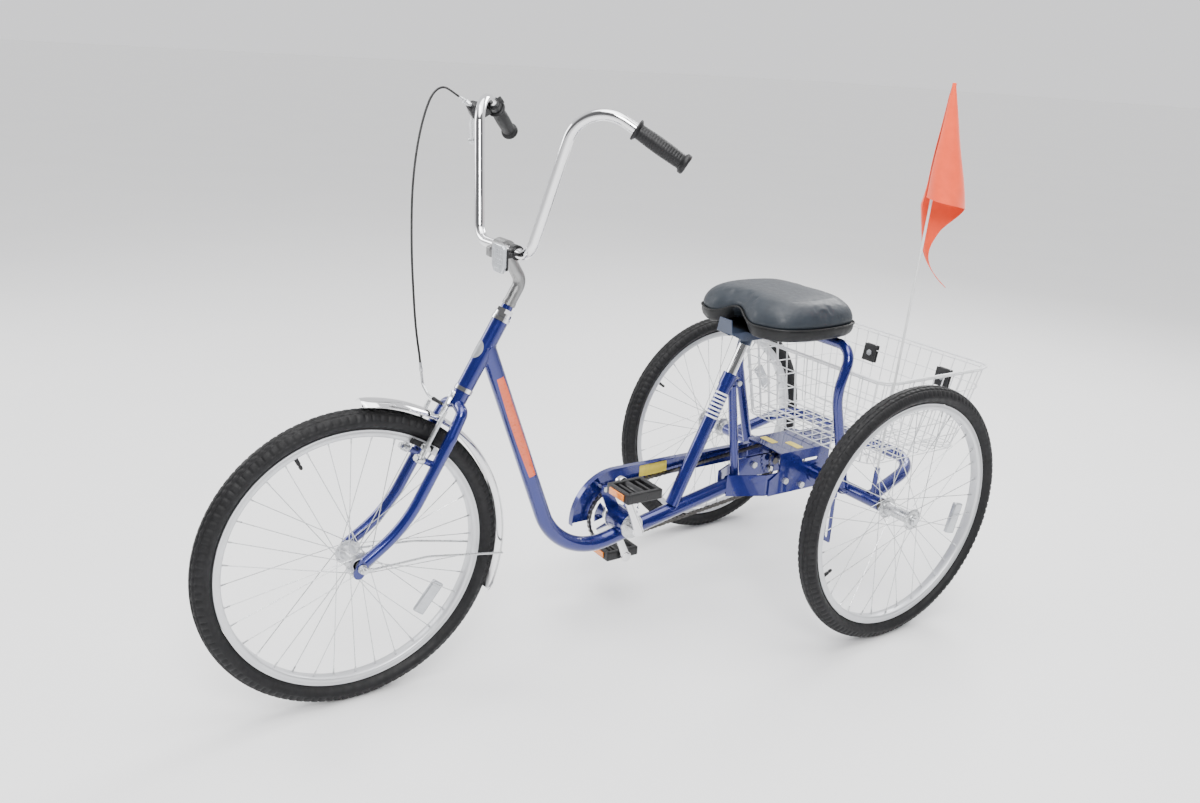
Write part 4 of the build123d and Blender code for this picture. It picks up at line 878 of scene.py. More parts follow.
def make_lever():
    """Bracket, blade and barrel adjuster of the brake lever."""
    band = plate("perch_body", [[(x * MM, y * MM) for x, y in
                                 ((13, -8), (22, -27), (34, -48), (40, -52), (50, -51), (54, -46), (57, -18),
                                  (52, -8), (34, 6), (20, 8.5), (13, 8))]],
                 0.02, lever_spot(0, 0, -10), LEVER_OUT, LEVER_AXIS, PLASTIC, 0.0024)
    dress(band, "steering", "black_plastic", "lever_perch")
    clamp = Shape()
    clamp.lathe([(-0.008, 0.0113), (-0.008, 0.0148), (-0.0065, 0.016), (0.0065, 0.016), (0.008, 0.0148),
                 (0.008, 0.0113)], PERCH, LEVER_WAY, 48, closed=True)
    clamp.box(lever_spot(-17, 0), (0.012, 0.0135, 0.013), [LEVER_OUT, LEVER_WAY, LEVER_AXIS], 0.0018)
    dress(clamp.build("perch_clamp", PLASTIC), "steering", "black_plastic")
    metal = Shape()
    for side in (-1, 1):
        metal.lathe([(0.0098, 0.0), (0.0098, 0.0036), (0.0104, 0.0042), (0.0112, 0.0042), (0.0116, 0.003),
                     (0.0116, 0.0)], lever_spot(42, -30), LEVER_AXIS * side, 20)
    root, end = lever_spot(44, -49), lever_spot(52, -75, -8)
    way = end - root
    long = way.length
    ribbed = [(0.0, 0.0), (0.0, 0.0042), (long * 0.3, 0.0042), (long * 0.32, 0.0058)]
    for k in range(5):
        ribbed += [(long * (0.34 + 0.08 * k), 0.0058), (long * (0.37 + 0.08 * k), 0.005)]
    ribbed += [(long * 0.76, 0.0058), (long * 0.78, 0.0042), (long * 0.96, 0.004), (long, 0.0036),
               (long, 0.0)]
    metal.lathe(ribbed, root, way, 28)
    dress(metal.build("barrel_adjuster", STEEL), "steering", "bright_steel")
    blade = Shape()
    path = [lever_spot(*p)
            for p in ((37, -36), (42, -30), (50, -19), (60, -5), (66, 8), (72, 26), (79, 45), (84, 57))]
    wide = [0.005, 0.0068, 0.0066, 0.0058, 0.0056, 0.0056, 0.0056, 0.005]
    ring = 16
    verts = []
    for i, p in enumerate(path):
        along = (path[min(i + 1, len(path) - 1)] - path[max(i - 1, 0)]).normalized()
        across = LEVER_AXIS.cross(along)
        for k in range(ring):
            a = 2 * math.pi * k / ring
            verts.append(p + across * wide[i] * math.cos(a) + LEVER_AXIS * 0.0041 * math.sin(a))
    faces = [(i * ring + k, i * ring + (k + 1) % ring, (i + 1) * ring + (k + 1) % ring, (i + 1) * ring + k)
             for i in range(len(path) - 1) for k in range(ring)]
    faces += [tuple(range(ring)), tuple(range((len(path) - 1) * ring, len(path) * ring))]
    blade.add(verts, faces)
    ball = [(0.0088 * -math.cos(math.pi * k / 12), max(0.0, 0.0088 * math.sin(math.pi * k / 12)))
            for k in range(13)]
    blade.lathe(ball, lever_spot(85, 62), LEVER_AXIS, 28)
    made = blade.build("lever_blade", STEEL, 50)
    dress(made, "brake_lever", "bright_steel", "brake_lever")


def make_brakes():
    """Linear-pull arms, pads with backing and washers, boot and noodle."""
    for hand, side in (("left", 1), ("right", -1)):
        body = "brake_arm_" + hand
        shape = Shape()
        stations = ((-7, 6.4), (0, 7.6), (14, 7.2), (26, 7.4), (45, 5.2), (75, 4.5), (100, 4.3), (112, 4.3))
        ring = 16
        verts = []
        for up, half in stations:
            centre = steer(side * 40, 149 - up, 38)
            for k in range(ring):
                a = 2 * math.pi * k / ring
                u = squared(math.cos(a), 0.6)
                v = squared(math.sin(a), 0.6)
                verts.append(centre + Vector((half * MM * u, 0, 0)) + AHEAD * 0.0043 * v)
        faces = band_faces(len(stations) - 1, ring) + end_faces(len(stations) - 1, ring)
        shape.add(verts, faces)
        shape.lathe([(0.0306, 0.0042), (0.0306, 0.009), (0.032, 0.0095), (0.0435, 0.0095), (0.045, 0.0085),
                     (0.045, 0.0042)], steer(side * 40, 149, 0), AHEAD, 32, closed=True)
        shape.tube([steer(side * 25, 123, 38), steer(side * 52, 123, 38)], 0.003, 14)
        shape.lathe([(0.0475, 0.0), (0.0475, 0.006), (0.0515, 0.006), (0.0515, 0.0)], steer(0, 123, 38),
                    (side, 0, 0), 6)
        shape.lathe([(0.0285, 0.0), (0.0285, 0.0068), (0.032, 0.0072), (0.033, 0.005)], steer(0, 123, 38),
                    (side, 0, 0), 24)
        dress(shape.build(body + "_forged", STEEL, 45), body, "bright_steel", body)
        pad = Shape()
        axes = [UP, AHEAD, Vector((1, 0, 0))]
        pad.box(steer(side * 18.3, 123, 38), (0.0118, 0.0555, 0.0066), axes, 0.0014)
        pad.box(steer(side * 23.0, 123, 38), (0.0094, 0.046, 0.0036), axes, 0.0012)
        for k in (-2, -1, 1, 2):
            pad.box(steer(side * 20.6, 123, 38 + 9 * k), (0.0119, 0.0012, 0.003), axes, 0.0002)
        dress(pad.build(f"brake_pad_{hand}_block", RUBBER), body, "rubber_black", f"brake_pad_{hand}")
    noodle = [steer(-72, -14, 74), steer(-68, 16, 54), steer(-40, 31, 43), steer(2, 28, 42)]
    path = rounded(noodle, [0.018, 0.03], math.radians(8))
    shape = Shape()
    shape.tube(path[:-1] + [steer(-20, 29.6, 42.5)], 0.0031, 16)
    shape.lathe([(0.0, 0.0033), (0.0, 0.004), (0.007, 0.004), (0.0085, 0.0032)], path[0], path[1] - path[0],
                18)
    dress(shape.build("noodle_pipe", STEEL), "steering", "bright_steel", "brake_noodle")
    boot = Shape()
    start, end = steer(-20, 29.6, 42.5), steer(22, 28, 42)
    rings = []
    radii = []
    for i in range(41):
        t = i / 40
        rings.append(start.lerp(end, t))
        radii.append(0.0042 - 0.0014 * t + 0.0006 * math.sin(t * 60))
    boot.tube(rings, radii, 18)
    dress(boot.build("noodle_boot", RUBBER), "steering", "rubber_black")
    wire = Shape()
    wire.tube([end, steer(40, 27.5, 42)], 0.0009, 8)
    wire.tube([steer(40, 27.5, 42), steer(44, 36, 42.5), steer(46, 62, 43.5)], 0.0009, 8)
    dress(wire.build("brake_wire", STEEL), "steering", "bright_steel")


CABLE_R = 0.0025


def make_cable():
    """The outer cable from the lever's barrel to the noodle, along the CAD tube's own points."""
    root, end = lever_spot(44, -49), lever_spot(52, -75, -8)
    noodle = [steer(-72, -14, 74), steer(-68, 16, 54)]
    points = [
        end,
        end + (end - root) * 1.05,
        spot(-229, -953, 1268), spot(-218, -982, 1254), spot(-208, -1003, 1218), spot(-197, -1022, 1168),
        spot(-184, -1038, 1108), spot(-169, -1050, 1046), spot(-153, -1058, 984), spot(-135, -1065, 922),
        spot(-116, -1070, 861), spot(-98, -1074, 804), spot(-85, -1075, 762),
        noodle[0] - (noodle[1] - noodle[0]) * 0.75,
        noodle[0],
    ]
    curve = bpy.data.curves.new("brake_cable_line", "CURVE")
    curve.dimensions = "3D"
    curve.bevel_depth = CABLE_R
    curve.bevel_resolution = 5
    curve.use_fill_caps = True
    spline = curve.splines.new("NURBS")
    spline.points.add(len(points) - 1)
    for point, place in zip(spline.points, points):
        point.co = (*place, 1)
    spline.order_u = 3
    spline.use_endpoint_u = True
    spline.resolution_u = 12
    curve.materials.append(PLASTIC)
    made = bpy.data.objects.new("brake_cable_outer", curve)
    bpy.context.scene.collection.objects.link(made)
    dress(made, "steering", "rubber_black", "brake_cable")
    ends = Shape()
    for place, way in ((points[0], points[1] - points[0]), (points[-1], points[-2] - points[-1])):
        ends.lathe([(0.0002, 0.0026), (0.0002, 0.0031), (0.011, 0.0031), (0.0122, 0.0028), (0.0122, 0.0026)],
                   place, way, 20, closed=True)
    dress(ends.build("cable_ferrules", STEEL), "steering", "bright_steel")


# ---------------------------------------------------------------- fender


def make_fender():
    """The chrome fender with rolled edges, and a flat strip near the fork crown."""
    r, half, t = 0.348, 0.029, 0.0012
    first, last, steps = -25.0, 87.0, 150
    section = []
    for k in range(13):
        u = -1 + 2 * k / 12
        section.append((half * u, r - 0.011 * abs(u) ** 2.3))
    edge = [(half - t, r - 0.0118), *[(px * 0.96, pr - t) for px, pr in reversed(section[1:-1])],
            (-half + t, r - 0.0118)]
    ring = section + edge
    shape = Shape()
    verts = []
    for i in range(steps + 1):
        a = math.radians(first + (last - first) * i / steps)
        ends = min(i, steps - i) / 6
        pinch = 1.0 if ends >= 1 else math.sqrt(1 - (1 - ends) ** 2) * 0.35 + 0.65
        for px, pr in ring:
            verts.append((px * pinch, FRONT_Y + pr * math.cos(a), AXLE_Z + pr * math.sin(a)))
    count = len(ring)
    faces = band_faces(steps, count) + end_faces(steps, count)
    shape.add(verts, faces)
    for side in (-1, 1):
        path = []
        for i in range(6, steps - 5):
            a = math.radians(first + (last - first) * i / steps)
            path.append((side * (half - 0.0012), FRONT_Y + (r - 0.0112) * math.cos(a),
                         AXLE_Z + (r - 0.0112) * math.sin(a)))
        shape.tube(path, 0.0012, 8)
    shape.box(steer(0, 24, 19.3), (0.017, 0.059, 0.0018), [Vector((1, 0, 0)), UP, AHEAD], 0.0006)
    dress(shape.build("fender_shell", CHROME, 50), "steering", "chrome", "front_fender")


# ---------------------------------------------------------------- frame trim


def ring_on(shape, centre, along, radius, bead, sides=10, around=44):
    """A bead round a tube, as weld metal."""
    along = Vector(along).normalized()
    one = along.orthogonal().normalized()
    two = along.cross(one)
    points = []
    for i in range(around):
        a = 2 * math.pi * i / around
        wobble = 1 + 0.012 * math.sin(a * 9)
        points.append(Vector(centre) + (one * math.cos(a) + two * math.sin(a)) * radius * wobble)
    shape.tube(points, bead, sides, closed=True)


def on_surface(shape, start, along, radius_a, centre_b, axis_b, radius_b, bead):
    """A weld bead where a tube meets a second, thicker tube: found by marching each line of the first."""
    along = Vector(along).normalized()
    axis_b = Vector(axis_b).normalized()
    one = along.orthogonal().normalized()
    two = along.cross(one)
    points = []
    for i in range(48):
        a = 2 * math.pi * i / 48
        p = Vector(start) + (one * math.cos(a) + two * math.sin(a)) * radius_a
        d = along - axis_b * along.dot(axis_b)
        q = p - Vector(centre_b)
        q = q - axis_b * q.dot(axis_b)
        aa, bb, cc = d.dot(d), 2 * q.dot(d), q.dot(q) - radius_b**2
        inside = bb * bb - 4 * aa * cc
        t = (-bb - math.sqrt(inside)) / (2 * aa) if inside > 0 else -bb / (2 * aa)
        points.append(p + along * t)
    shape.tube(points, bead, 8, closed=True)


SEAT_WAY = Vector((0, 0.4265, 0.9045)).normalized()
SEAT_FOOT = spot(0, -421, 296)


def make_frame_trim():
    """Weld beads, stripes, badge and blank labels."""
    welds = Shape()
    head_axis = UP
    tube_way = (spot(0, -753, 208) - spot(0, -955, 756)).normalized()
    on_surface(welds, spot(0, -900, 607), -tube_way, 0.019, CROWN, head_axis, 0.0183, 0.0017)
    bottom_way = (spot(0, -214, 315) - spot(0, -753, 208)).normalized()
    on_surface(welds, SEAT_FOOT + SEAT_WAY * 0.08, -SEAT_WAY, 0.017, spot(0, -421, 273.9), bottom_way, 0.019,
               0.0015)
    on_surface(welds, spot(0, -252, 520), spot(0, -222, 326) - spot(0, -262, 582), 0.0115,
               spot(0, -214, 315), bottom_way, 0.019, 0.0013)
    for side in (-1, 1):
        ring_on(welds, (side * 0.0665, REAR_Y, AXLE_Z), (1, 0, 0), 0.0182, 0.0016)
        ring_on(welds, (side * 0.0345, BB.y, BB.z), (1, 0, 0), 0.0288, 0.0008)
        leg = (spot(187, -86, 590) - spot(187, -20, 338)).normalized()
        leg.x = 0
        on_surface(welds, spot(side * 187, -50, 452), -leg, 0.0127, (0, REAR_Y, AXLE_Z), (1, 0, 0), 0.0178,
                   0.0013)
        rear = (spot(240, 188, 386) - spot(262, 0, 332)).normalized()
        rear = Vector((rear.x * side, rear.y, rear.z))
        on_surface(welds, spot(side * 256, 50, 346.5), -rear, 0.016, (0, REAR_Y, AXLE_Z), (1, 0, 0), 0.0178,
                   0.0015)
    dress(welds.build("weld_beads", PAINT, 60), "frame", "frame_blue")

    stripes = Shape()
    for k in range(7):
        low_end = SEAT_FOOT + SEAT_WAY * (0.232 + 0.0105 * k)
        stripes.lathe([(0, 0.01705), (0, 0.01715), (0.0052, 0.01715), (0.0052, 0.01705)], low_end, SEAT_WAY,
                      48)
    dress(stripes.build("seat_tube_stripes", STRIPE), "frame", "frame_blue")

    strip_way = -tube_way
    bar = Shape()
    facing = Vector((1, 0, 0))
    for side in (-1, 1):
        rows = 30
        verts = []
        for i in range(rows + 1):
            t = i / rows
            centre = spot(0, -766, 243.5).lerp(spot(0, -905, 620), 0.535 + 0.64 * t)
            wide = 26 + 10 * math.sin(math.pi * t)
            for k in range(7):
                a = math.radians(-wide + 2 * wide * k / 6)
                across = strip_way.cross(facing).normalized()
                verts.append(centre + (facing * side * math.cos(a) + across * math.sin(a)) * 0.01912)
        faces = band_faces(rows, 6, ring=False)
        bar.add(verts, faces)
    dress(bar.build("down_tube_strip", ORANGE), "frame", "flag_orange")

    plaque = Shape()
    centre = CROWN + UP * 0.105
    rows, cols = 14, 14
    verts = []
    for i in range(rows + 1):
        v = -1 + 2 * i / rows
        for k in range(cols + 1):
            u = -1 + 2 * k / cols
            width = math.radians(52) * math.sqrt(max(0.0, 1 - v * v)) * u
            out = AHEAD * math.cos(width) + Vector((1, 0, 0)) * math.sin(width)
            dome = 0.0188 + 0.0007 * max(0.0, 1 - v * v) * (1 - u * u)
            verts.append(centre + UP * 0.021 * v + out * dome)
    faces = band_faces(rows, cols, ring=False)
    plaque.add(verts, faces)
    dress(plaque.build("head_badge", GREY, 60), "frame", "cast_grey")

    film, corner, edge = 0.0005, 0.003, 0.0001
    outline = round_rect(0.05, 0.022, corner)
    for x, y in ((-28, -88), (30, -52)):
        label = plate("cover_label", [outline], 0.0006, spot(x, y, 400.1), (1, 0, 0), (0, 0, 1), YELLOW, edge)
        dress(label, "frame", "frame_blue")
    outline = round_rect(0.084, 0.03, corner)
    for name, x, facing in (("guard_label", -57.0, 1), ("guard_label_outer", -58.5, -1)):
        label = plate(name, [outline], film, spot(x, -447, 369), (0, 1, 0.02), (facing, 0, 0), YELLOW, edge)
        dress(label, "frame", "frame_blue")


# ---------------------------------------------------------------- basket

BASKET_TOP = (0.275, -0.017, 0.390, 0.634)
BASKET_LOW = (0.238, 0.002, 0.352, 0.4023)
BASKET_CORNER = 0.045


def basket_ring(t, outside=0.0, corner=BASKET_CORNER):
    """The basket's outline at a height from 0, the floor, to 1, the rim."""
    half, front, rear, z = [a + (b - a) * t for a, b in zip(BASKET_LOW, BASKET_TOP)]
    half += outside
    front, rear = front - outside, rear + outside
    points = round_rect(2 * half, rear - front, corner + outside, 8)
    return [Vector((x, REAR_Y + (front + rear) / 2 + y, z)) for x, y in points]


def basket_wall(x, y_side, t, inset=0.0):
    """A point on the front or rear wall: x runs with the taper, so a wire leans as the wall does."""
    half, front, rear, z = [a + (b - a) * t for a, b in zip(BASKET_LOW, BASKET_TOP)]
    y = (rear - inset) if y_side > 0 else (front + inset)
    return Vector((x * half, REAR_Y + y, z))


def side_wall(y, x_side, t, inset=0.0):
    half, front, rear, z = [a + (b - a) * t for a, b in zip(BASKET_LOW, BASKET_TOP)]
    return Vector((x_side * (half - inset), REAR_Y + (front + rear) / 2 + y * (rear - front) / 2, z))


def make_basket():
    """Coated wire: heavy rim, level wires outside, and upright wires that run on across the floor."""
    wire, rim = 0.0016, 0.0031
    shape = Shape()
    shape.tube(basket_ring(1.0, -0.0003), rim, 14, closed=True)
    shape.tube(basket_ring(0.965, -0.0062), wire * 1.25, 10, closed=True)
    for t in (0.02, 0.2, 0.385, 0.57, 0.755):
        shape.tube(basket_ring(t, -wire * 1.2), wire, 8, closed=True)
    across = 13
    inset = wire * 3.1
    floor_z = BASKET_LOW[3] + wire
    for k in range(across):
        u = (-1 + 2 * (k + 0.5) / across) * 0.93
        if abs(u) > 0.80:
            continue
        front_top, front_low = basket_wall(u, -1, 0.985, inset), basket_wall(u, -1, 0.0, inset)
        rear_low, rear_top = basket_wall(u, 1, 0.0, inset), basket_wall(u, 1, 0.985, inset)
        front_low.z = rear_low.z = floor_z
        shape.tube(rounded([front_top, front_low, rear_low, rear_top], 0.012, math.radians(15)), wire, 8)
    along = 10
    for k in range(along):
        u = (-1 + 2 * (k + 0.5) / along) * 0.92
        if abs(u) > 0.74:
            continue
        left_top, left_low = side_wall(u, 1, 0.985, inset), side_wall(u, 1, 0.0, inset)
        right_low, right_top = side_wall(u, -1, 0.0, inset), side_wall(u, -1, 0.985, inset)
        left_low.z = right_low.z = floor_z + wire * 1.9
        shape.tube(rounded([left_top, left_low, right_low, right_top], 0.012, math.radians(15)), wire, 8)
    for sx in (-1, 1):
        for sy in (-1, 1):
            for a in (18, 45, 72):
                path = []
                for t in (0.0, 0.985):
                    half, front, rear, z = [p + (q - p) * t for p, q in zip(BASKET_LOW, BASKET_TOP)]
                    c = BASKET_CORNER
                    x = sx * (half - c + (c - inset) * math.cos(math.radians(a)))
                    mid = REAR_Y + (front + rear) / 2
                    y = mid + sy * ((rear - front) / 2 - c + (c - inset) * math.sin(math.radians(a)))
                    path.append(Vector((x, y, z + (wire if t == 0 else 0))))
                inner = path[0] + Vector((-sx * 0.05, -sy * 0.05, 0))
                shape.tube(rounded([inner, path[0], path[1]], 0.01, math.radians(15)), wire, 8)
    dress(shape.build("basket_wires", WHITE, 60), "frame", "basket_white", "basket")


def make_rear_reflectors():
    """Black cases on the rear wall: lens to the rear, grey boss and nut on the inside."""
    slope = 38.0 / 231.7
    normal = Vector((0, 1, -slope)).normalized()
    lean = Vector((1, 0, 0))
    up_wall = normal.cross(lean)
    case, lens, boss = Shape(), Shape(), Shape()
    for side in (-1, 1):
        wall_y = 352 + slope * (566 - 402.3)
        seat = spot(side * 132, wall_y, 566) + normal * 0.0003
        axes = [lean, up_wall, normal]
        case.box(seat + normal * 0.0035, (0.0455, 0.0515, 0.0066), axes, 0.0028)
        lens.box(seat + normal * 0.0066, (0.038, 0.044, 0.0024), axes, 0.001)
        case.box(seat - normal * 0.0062, (0.046, 0.05, 0.0032), axes, 0.0012)
        boss.lathe([(0.0, 0.0), (0.0, 0.0092), (0.0016, 0.0088), (0.0022, 0.0046), (0.0046, 0.0042),
                    (0.005, 0.0)],
                   seat - normal * 0.0078, -normal, 6)
    dress(case.build("rear_reflector_cases", PLASTIC), "frame", "black_plastic", "rear_reflectors")
    dress(lens.build("rear_reflector_lenses",
                     surface("red_lens", (0.5, 0.01, 0.01), 0.1, 0.14, 0.04, 60, 480, 0.35, 0.1, 0.8)),
          "frame", "reflector_clear")
    dress(boss.build("rear_reflector_bosses", GREY), "frame", "cast_grey")


def make_front_reflector():
    """Clear lens in a shell with chamfered lower corners."""
    at = BAR_CENTRE + Vector((0.054, -0.034, -0.010))
    outline = [(-0.0245, 0.022), (-0.019, 0.0285), (0.019, 0.0285), (0.0245, 0.022), (0.0245, -0.016),
               (0.0155, -0.0285), (-0.0155, -0.0285), (-0.0245, -0.016)]
    shell = plate("front_reflector_shell", [outline], 0.0086, at, (1, 0, 0), (0, -1, 0), LENS, 0.0014)
    dress(shell, "steering", "reflector_clear", "front_reflector")
    grid = Shape()
    for i in range(-2, 3):
        grid.box(at + Vector((i * 0.0088, -0.0086, 0)), (0.0009, 0.0008, 0.044), bevel=0.0002)
    for k in range(-2, 3):
        grid.box(at + Vector((0, -0.0086, k * 0.0095)), (0.041, 0.0008, 0.0009), bevel=0.0002)
    dress(grid.build("front_reflector_ribs", LENS), "steering", "reflector_clear")


# ---------------------------------------------------------------- seat

SEAT_OUTLINE = [(0, -282), (-46, -287), (-98, -291), (-160, -258), (-184, -180), (-182, -85), (-158, -18),
                (-90, 4), (0, 5)]


def seat_outline(count=128):
    """The seat's closed outline seen from above, as points round it, in metres."""
    half = [(x, y) for x, y in SEAT_OUTLINE]
    ring = half + [(-x, y) for x, y in reversed(half[1:-1])]
    points = []
    n = len(ring)
    for i in range(n):
        p0, p1, p2, p3 = ring[(i - 1) % n], ring[i], ring[(i + 1) % n], ring[(i + 2) % n]
        steps = count // n
        for s in range(steps):
            t = s / steps
            xy = []
            for a, b, c, d in zip(p0, p1, p2, p3):
                bend, twist = 2 * a - 5 * b + 4 * c - d, 3 * b - a - 3 * c + d
                xy.append(0.5 * (2 * b + (c - a) * t + bend * t**2 + twist * t**3))
            points.append(xy)
    return [(x * MM, REAR_Y + y * MM) for x, y in points]


def seat_arch(x, y):
    """How far a place is into the arch of the seat's front edge, 0 to 1; y is from the seat's middle."""
    front = min(1.0, max(0.0, (-y / 0.13 - 0.62) / 0.3))
    return front * math.exp(-(((x + 0.006) / 0.042) ** 2))


def make_seat():
    """The upper pad is swollen by a cloth step; the skirt hangs below a welted crease."""
    outline = seat_outline()
    count = len(outline)
    centre_y = REAR_Y - 0.145
    pad = Shape()
    rows = [(0.86, 0.751), (0.95, 0.754), (0.982, 0.760), (0.985, 0.767), (0.972, 0.777), (0.945, 0.787),
            (0.9, 0.7965), (0.83, 0.804), (0.72, 0.810), (0.56, 0.8135), (0.38, 0.815), (0.2, 0.815)]
    verts = []
    for scale, z in rows:
        for x, y in outline:
            px, py = x * scale, (y - centre_y) * scale
            rise = seat_arch(px, py)
            near = max(0.0, min(1.0, (0.8 - z) / 0.045))
            verts.append((px, centre_y + py + rise * 0.012 * near, z + rise * 0.024 * near))
    verts.append((0, centre_y, 0.815))
    verts.append((0, centre_y, 0.751))
    faces = []
    for i in range(len(rows) - 1):
        for k in range(count):
            n = (k + 1) % count
            faces.append((i * count + k, i * count + n, (i + 1) * count + n, (i + 1) * count + k))
    top, bottom = len(rows) * count, len(rows) * count + 1
    last = (len(rows) - 1) * count
    for k in range(count):
        n = (k + 1) % count
        faces.append((last + k, last + n, top))
        faces.append((n, k, bottom))
    pad.add(verts, faces)
    cushion = pad.build("seat_pad_top", VINYL, 80)
    cushion.modifiers.new("remesh", "REMESH").voxel_size = 0.0055
    apply_modifiers(cushion)
    puff(cushion, 0.009)
    smooth = cushion.modifiers.new("subdivision", "SUBSURF")
    smooth.levels = smooth.render_levels = 1
    apply_modifiers(cushion)
    cushion.data.shade_smooth()
    dress(cushion, "frame", "seat_vinyl", "seat_cushion")

    skirt = Shape()
    rows = [(0.8, 0.7278), (0.87, 0.7282), (0.915, 0.7315), (0.945, 0.738), (0.962, 0.747), (0.967, 0.756),
            (0.962, 0.7595), (0.9, 0.7605)]
    verts = []
    for scale, z in rows:
        for i, (x, y) in enumerate(outline):
            pucker = 0.0024 * math.sin(i * 2.1) * (1 if z < 0.75 else 0)
            px, py = x * (scale + pucker), (y - centre_y) * (scale + pucker)
            rise = seat_arch(px, py)
            low = (0.7605 - z) / 0.0327
            verts.append((px, centre_y + py + rise * (0.012 + 0.03 * low), z + rise * (0.024 + 0.022 * low)))
    faces = band_faces(len(rows) - 1, count)
    skirt.add(verts, faces)
    # The skirt's darker vinyl is painted shade below the pad.
    dress(skirt.build("seat_skirt", SKIRT_PAINTED_SHADE, 70), "frame", "seat_vinyl")
    welt = Shape()
    seam = []
    for x, y in outline:
        px, py = x * 0.97, (y - centre_y) * 0.97
        rise = seat_arch(px, py)
        seam.append((px, centre_y + py + rise * 0.012, 0.7605 + rise * 0.024))
    welt.tube(seam, 0.0021, 10, closed=True)
    # The welt takes the same darker vinyl, painted shade in the crease under the pad.
    dress(welt.build("seat_welt", SKIRT_PAINTED_SHADE, 70), "frame", "seat_vinyl")
    pan = Shape()
    pan.add([(x * 0.86, centre_y + (y - centre_y) * 0.8, 0.7276) for x, y in outline], [tuple(range(count))])
    dress(pan.build("seat_pan", PLASTIC), "frame", "black_plastic")


def apply_modifiers(piece):
    graph = bpy.context.evaluated_depsgraph_get()
    mesh = bpy.data.meshes.new_from_object(piece.evaluated_get(graph))
    piece.modifiers.clear()
    piece.data = mesh


def puff(piece, cap):
    """Swells a closed cushion with a short cloth run and keeps each point within cap of where it was."""
    before = [v.co.copy() for v in piece.data.vertices]
    cloth = piece.modifiers.new("cloth", "CLOTH")
    cloth.settings.use_pressure = True
    cloth.settings.uniform_pressure_force = 4.0
    cloth.settings.effector_weights.gravity = 0.0
    cloth.settings.quality = 4
    cloth.point_cache.frame_start = 1
    cloth.point_cache.frame_end = 20
    scene = bpy.context.scene
    for step in range(1, 21):
        scene.frame_set(step)
    graph = bpy.context.evaluated_depsgraph_get()
    moved = piece.evaluated_get(graph).to_mesh()
    places = [v.co.copy() for v in moved.vertices]
    piece.modifiers.clear()
    for vertex, old, new in zip(piece.data.vertices, before, places):
        shift = new - old
        if shift.length > cap:
            shift *= cap / shift.length
        vertex.co = old + shift
    scene.frame_set(1)


# ---------------------------------------------------------------- flag

POLE_FOOT = spot(272.6, -2.8, 362.0)
POLE_TIP = spot(298.0, 34.0, 1334.0)
POLE_WAY = (POLE_TIP - POLE_FOOT).normalized()


def make_flag():
    """A pennant rolled into a cone round the pole: apex at the tip, one long corner curling away below."""
    rows, cols = 54, 88
    right = Vector((0.56, 0.83, 0)).normalized()
    toward = Vector((0.83, -0.56, 0)).normalized()
    apex = POLE_TIP - POLE_WAY * 0.006
    shape = Shape()
    verts = []
    for j in range(cols + 1):
        u = j / cols
        turn = math.radians(168 - 344 * u)
        length = 0.243 + 0.05 * u if u < 0.5 else 0.268 + 0.115 * (u - 0.5) / 0.43
        length += 0.05 * max(0.0, (u - 0.7) / 0.3) ** 1.2
        for i in range(rows + 1):
            d = length * i / rows
            cone = min(d, 0.265) / 0.265
            past = max(0.0, d - 0.265)
            radius = 0.0048 + 0.0442 * cone - 0.1 * past
            radius *= 1 + 0.05 * math.sin(3 * turn + 9 * cone) * cone
            centre = 0.030 * cone + 0.12 * past + 0.036 * (max(0.0, d - 0.35) / 0.085) ** 2
            out = right * math.cos(turn) + toward * math.sin(turn)
            verts.append(apex - POLE_WAY * d + right * centre + out * radius)
    faces = band_faces(cols, rows, ring=False)
    shape.add(verts, faces)
    cloth = shape.build("flag_cloth", FLAG, 80)
    dress(cloth, "frame", "flag_orange", "flag")
    hem = Shape()
    edge = [verts[j * (rows + 1) + rows] for j in range(cols + 1)]
    hem.tube(edge, 0.0008, 6)
    hem.tube([verts[cols * (rows + 1) + i] for i in range(2, rows + 1)], 0.0008, 6)
    hems = dress(hem.build("flag_hem", FLAG), "frame", "flag_orange")
    cap = Shape()
    cap.lathe([(-0.014, 0.0031), (-0.014, 0.0046), (-0.002, 0.005), (0.0005, 0.0042), (0.001, 0.0)],
              POLE_TIP, POLE_WAY, 20)
    dress(cap.build("flag_cap", FLAG), "frame", "flag_orange")


# ---------------------------------------------------------------- stage


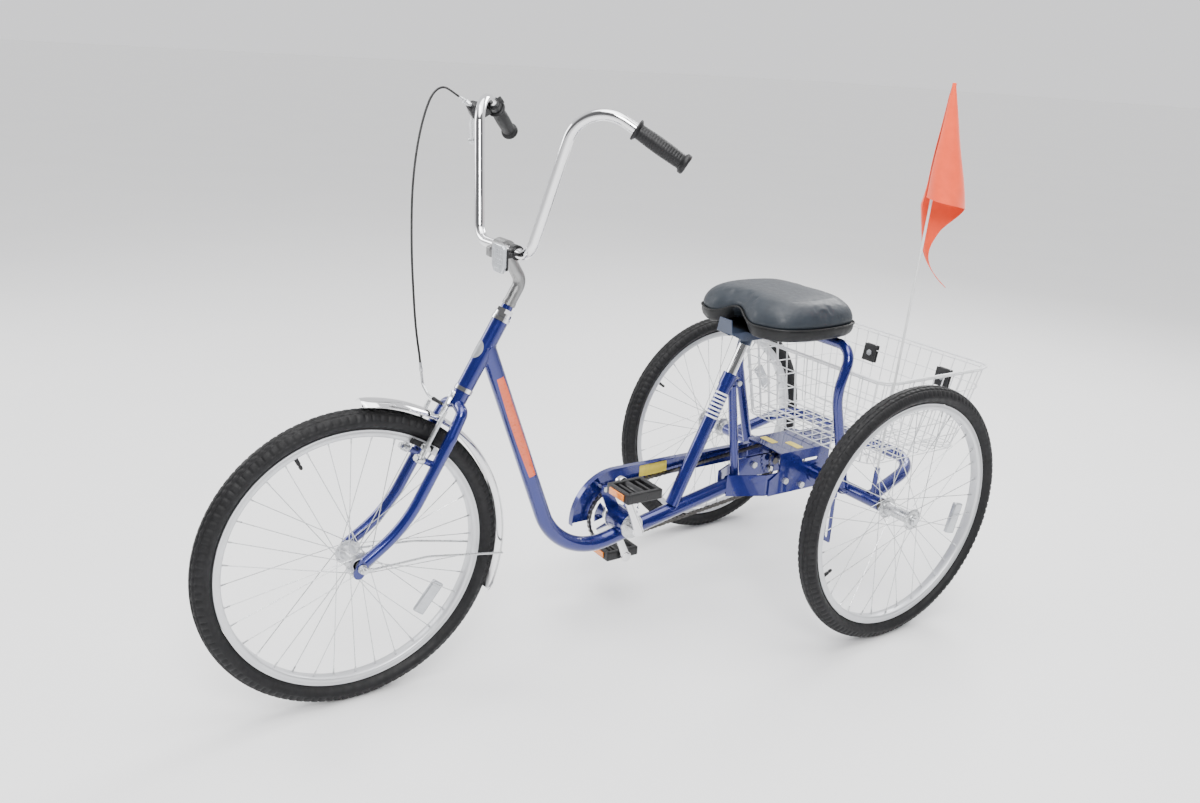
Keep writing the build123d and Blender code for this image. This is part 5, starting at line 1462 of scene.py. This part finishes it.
def make_stage():
    paper = surface("pale_floor", (0.9, 0.9, 0.9), 0.0, 0.6, 0.04, 1.2, 60, 0.02, 0.01)
    mesh = bpy.data.meshes.new("floor")
    mesh.from_pydata([(-90, -90, 0), (90, -90, 0), (90, 90, 0), (-90, 90, 0)], [], [(0, 1, 2, 3)])
    mesh.materials.append(paper)
    floor = bpy.data.objects.new("floor", mesh)
    bpy.context.scene.collection.objects.link(floor)
    floor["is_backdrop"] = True
    world = bpy.data.worlds.new("studio")
    bpy.context.scene.world = world
    world.use_nodes = True
    nodes, links = world.node_tree.nodes, world.node_tree.links
    back = nodes["Background"]
    back.inputs["Strength"].default_value = 1.15
    where = nodes.new("ShaderNodeTexCoord")
    toward = nodes.new("ShaderNodeVectorMath")
    toward.operation = "DOT_PRODUCT"
    toward.inputs[1].default_value = (-0.83, 0.56, 0.25)
    ramp = nodes.new("ShaderNodeValToRGB")
    for element, place, shade in zip(ramp.color_ramp.elements, (0.38, 0.66), (0.16, 1.0)):
        element.position = place
        element.color = (shade, shade, shade * 1.02, 1)
    half = nodes.new("ShaderNodeMapRange")
    half.inputs["From Min"].default_value = -1.0
    links.new(where.outputs["Generated"], toward.inputs[0])
    links.new(toward.outputs["Value"], half.inputs["Value"])
    links.new(half.outputs["Result"], ramp.inputs["Fac"])
    links.new(ramp.outputs["Color"], back.inputs["Color"])
    day = bpy.data.lights.new("day", "SUN")
    day.energy = 1.5
    day.angle = math.radians(40)
    sky = bpy.data.objects.new("day", day)
    sky.rotation_euler = (math.radians(14), math.radians(16), 0)
    bpy.context.scene.collection.objects.link(sky)
    for name, place, aim, size, power in (
        ("key", (2.8, -1.6, 3.2), (0, 0, 0.5), 1.5, 150),
        ("fill", (-3.2, -2.6, 2.2), (0, 0, 0.6), 1.6, 60),
        ("rim", (-1.2, 3.4, 3.0), (0, 0, 0.6), 1.6, 110),
        ("top", (0.3, 0.0, 4.4), (0, 0, 0), 3.4, 160),
    ):
        light = bpy.data.lights.new(name, "AREA")
        light.shape = "SQUARE"
        light.size = size
        light.energy = power
        holder = bpy.data.objects.new(name, light)
        holder.location = place
        holder.rotation_euler = (Vector(aim) - Vector(place)).to_track_quat("-Z", "Y").to_euler()
        bpy.context.scene.collection.objects.link(holder)


def make_camera():
    """The camera: its place, direction, roll and lens."""
    azimuth, elevation, roll = math.radians(55.893), math.radians(18.206), math.radians(3.421)
    back = Vector((math.sin(azimuth) * math.cos(elevation), -math.cos(azimuth) * math.cos(elevation),
                   math.sin(elevation)))
    right = (-back).cross(Vector((0, 0, 1))).normalized()
    up = back.cross(right)
    turned_right = right * math.cos(roll) + up * math.sin(roll)
    turned_up = up * math.cos(roll) - right * math.sin(roll)
    lens = bpy.data.cameras.new("camera")
    lens.lens = 31.5
    lens.sensor_width = 36.0
    lens.clip_end = 200.0
    camera = bpy.data.objects.new("camera", lens)
    turn = Matrix((turned_right, turned_up, back)).transposed().to_4x4()
    turn.translation = Vector((1.9013, REAR_Y - 1.9461, 1.3474))
    camera.matrix_world = turn
    bpy.context.scene.collection.objects.link(camera)
    bpy.context.scene.camera = camera


finish_cad_nodes()
make_wheels()
make_chain()
make_sprockets()
make_crank()
make_pedals()
make_bars()
make_grips()
make_lever()
make_brakes()
make_cable()
make_fender()
make_frame_trim()
make_basket()
make_rear_reflectors()
make_front_reflector()
make_seat()
make_flag()
make_stage()
make_camera()

low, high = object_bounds()
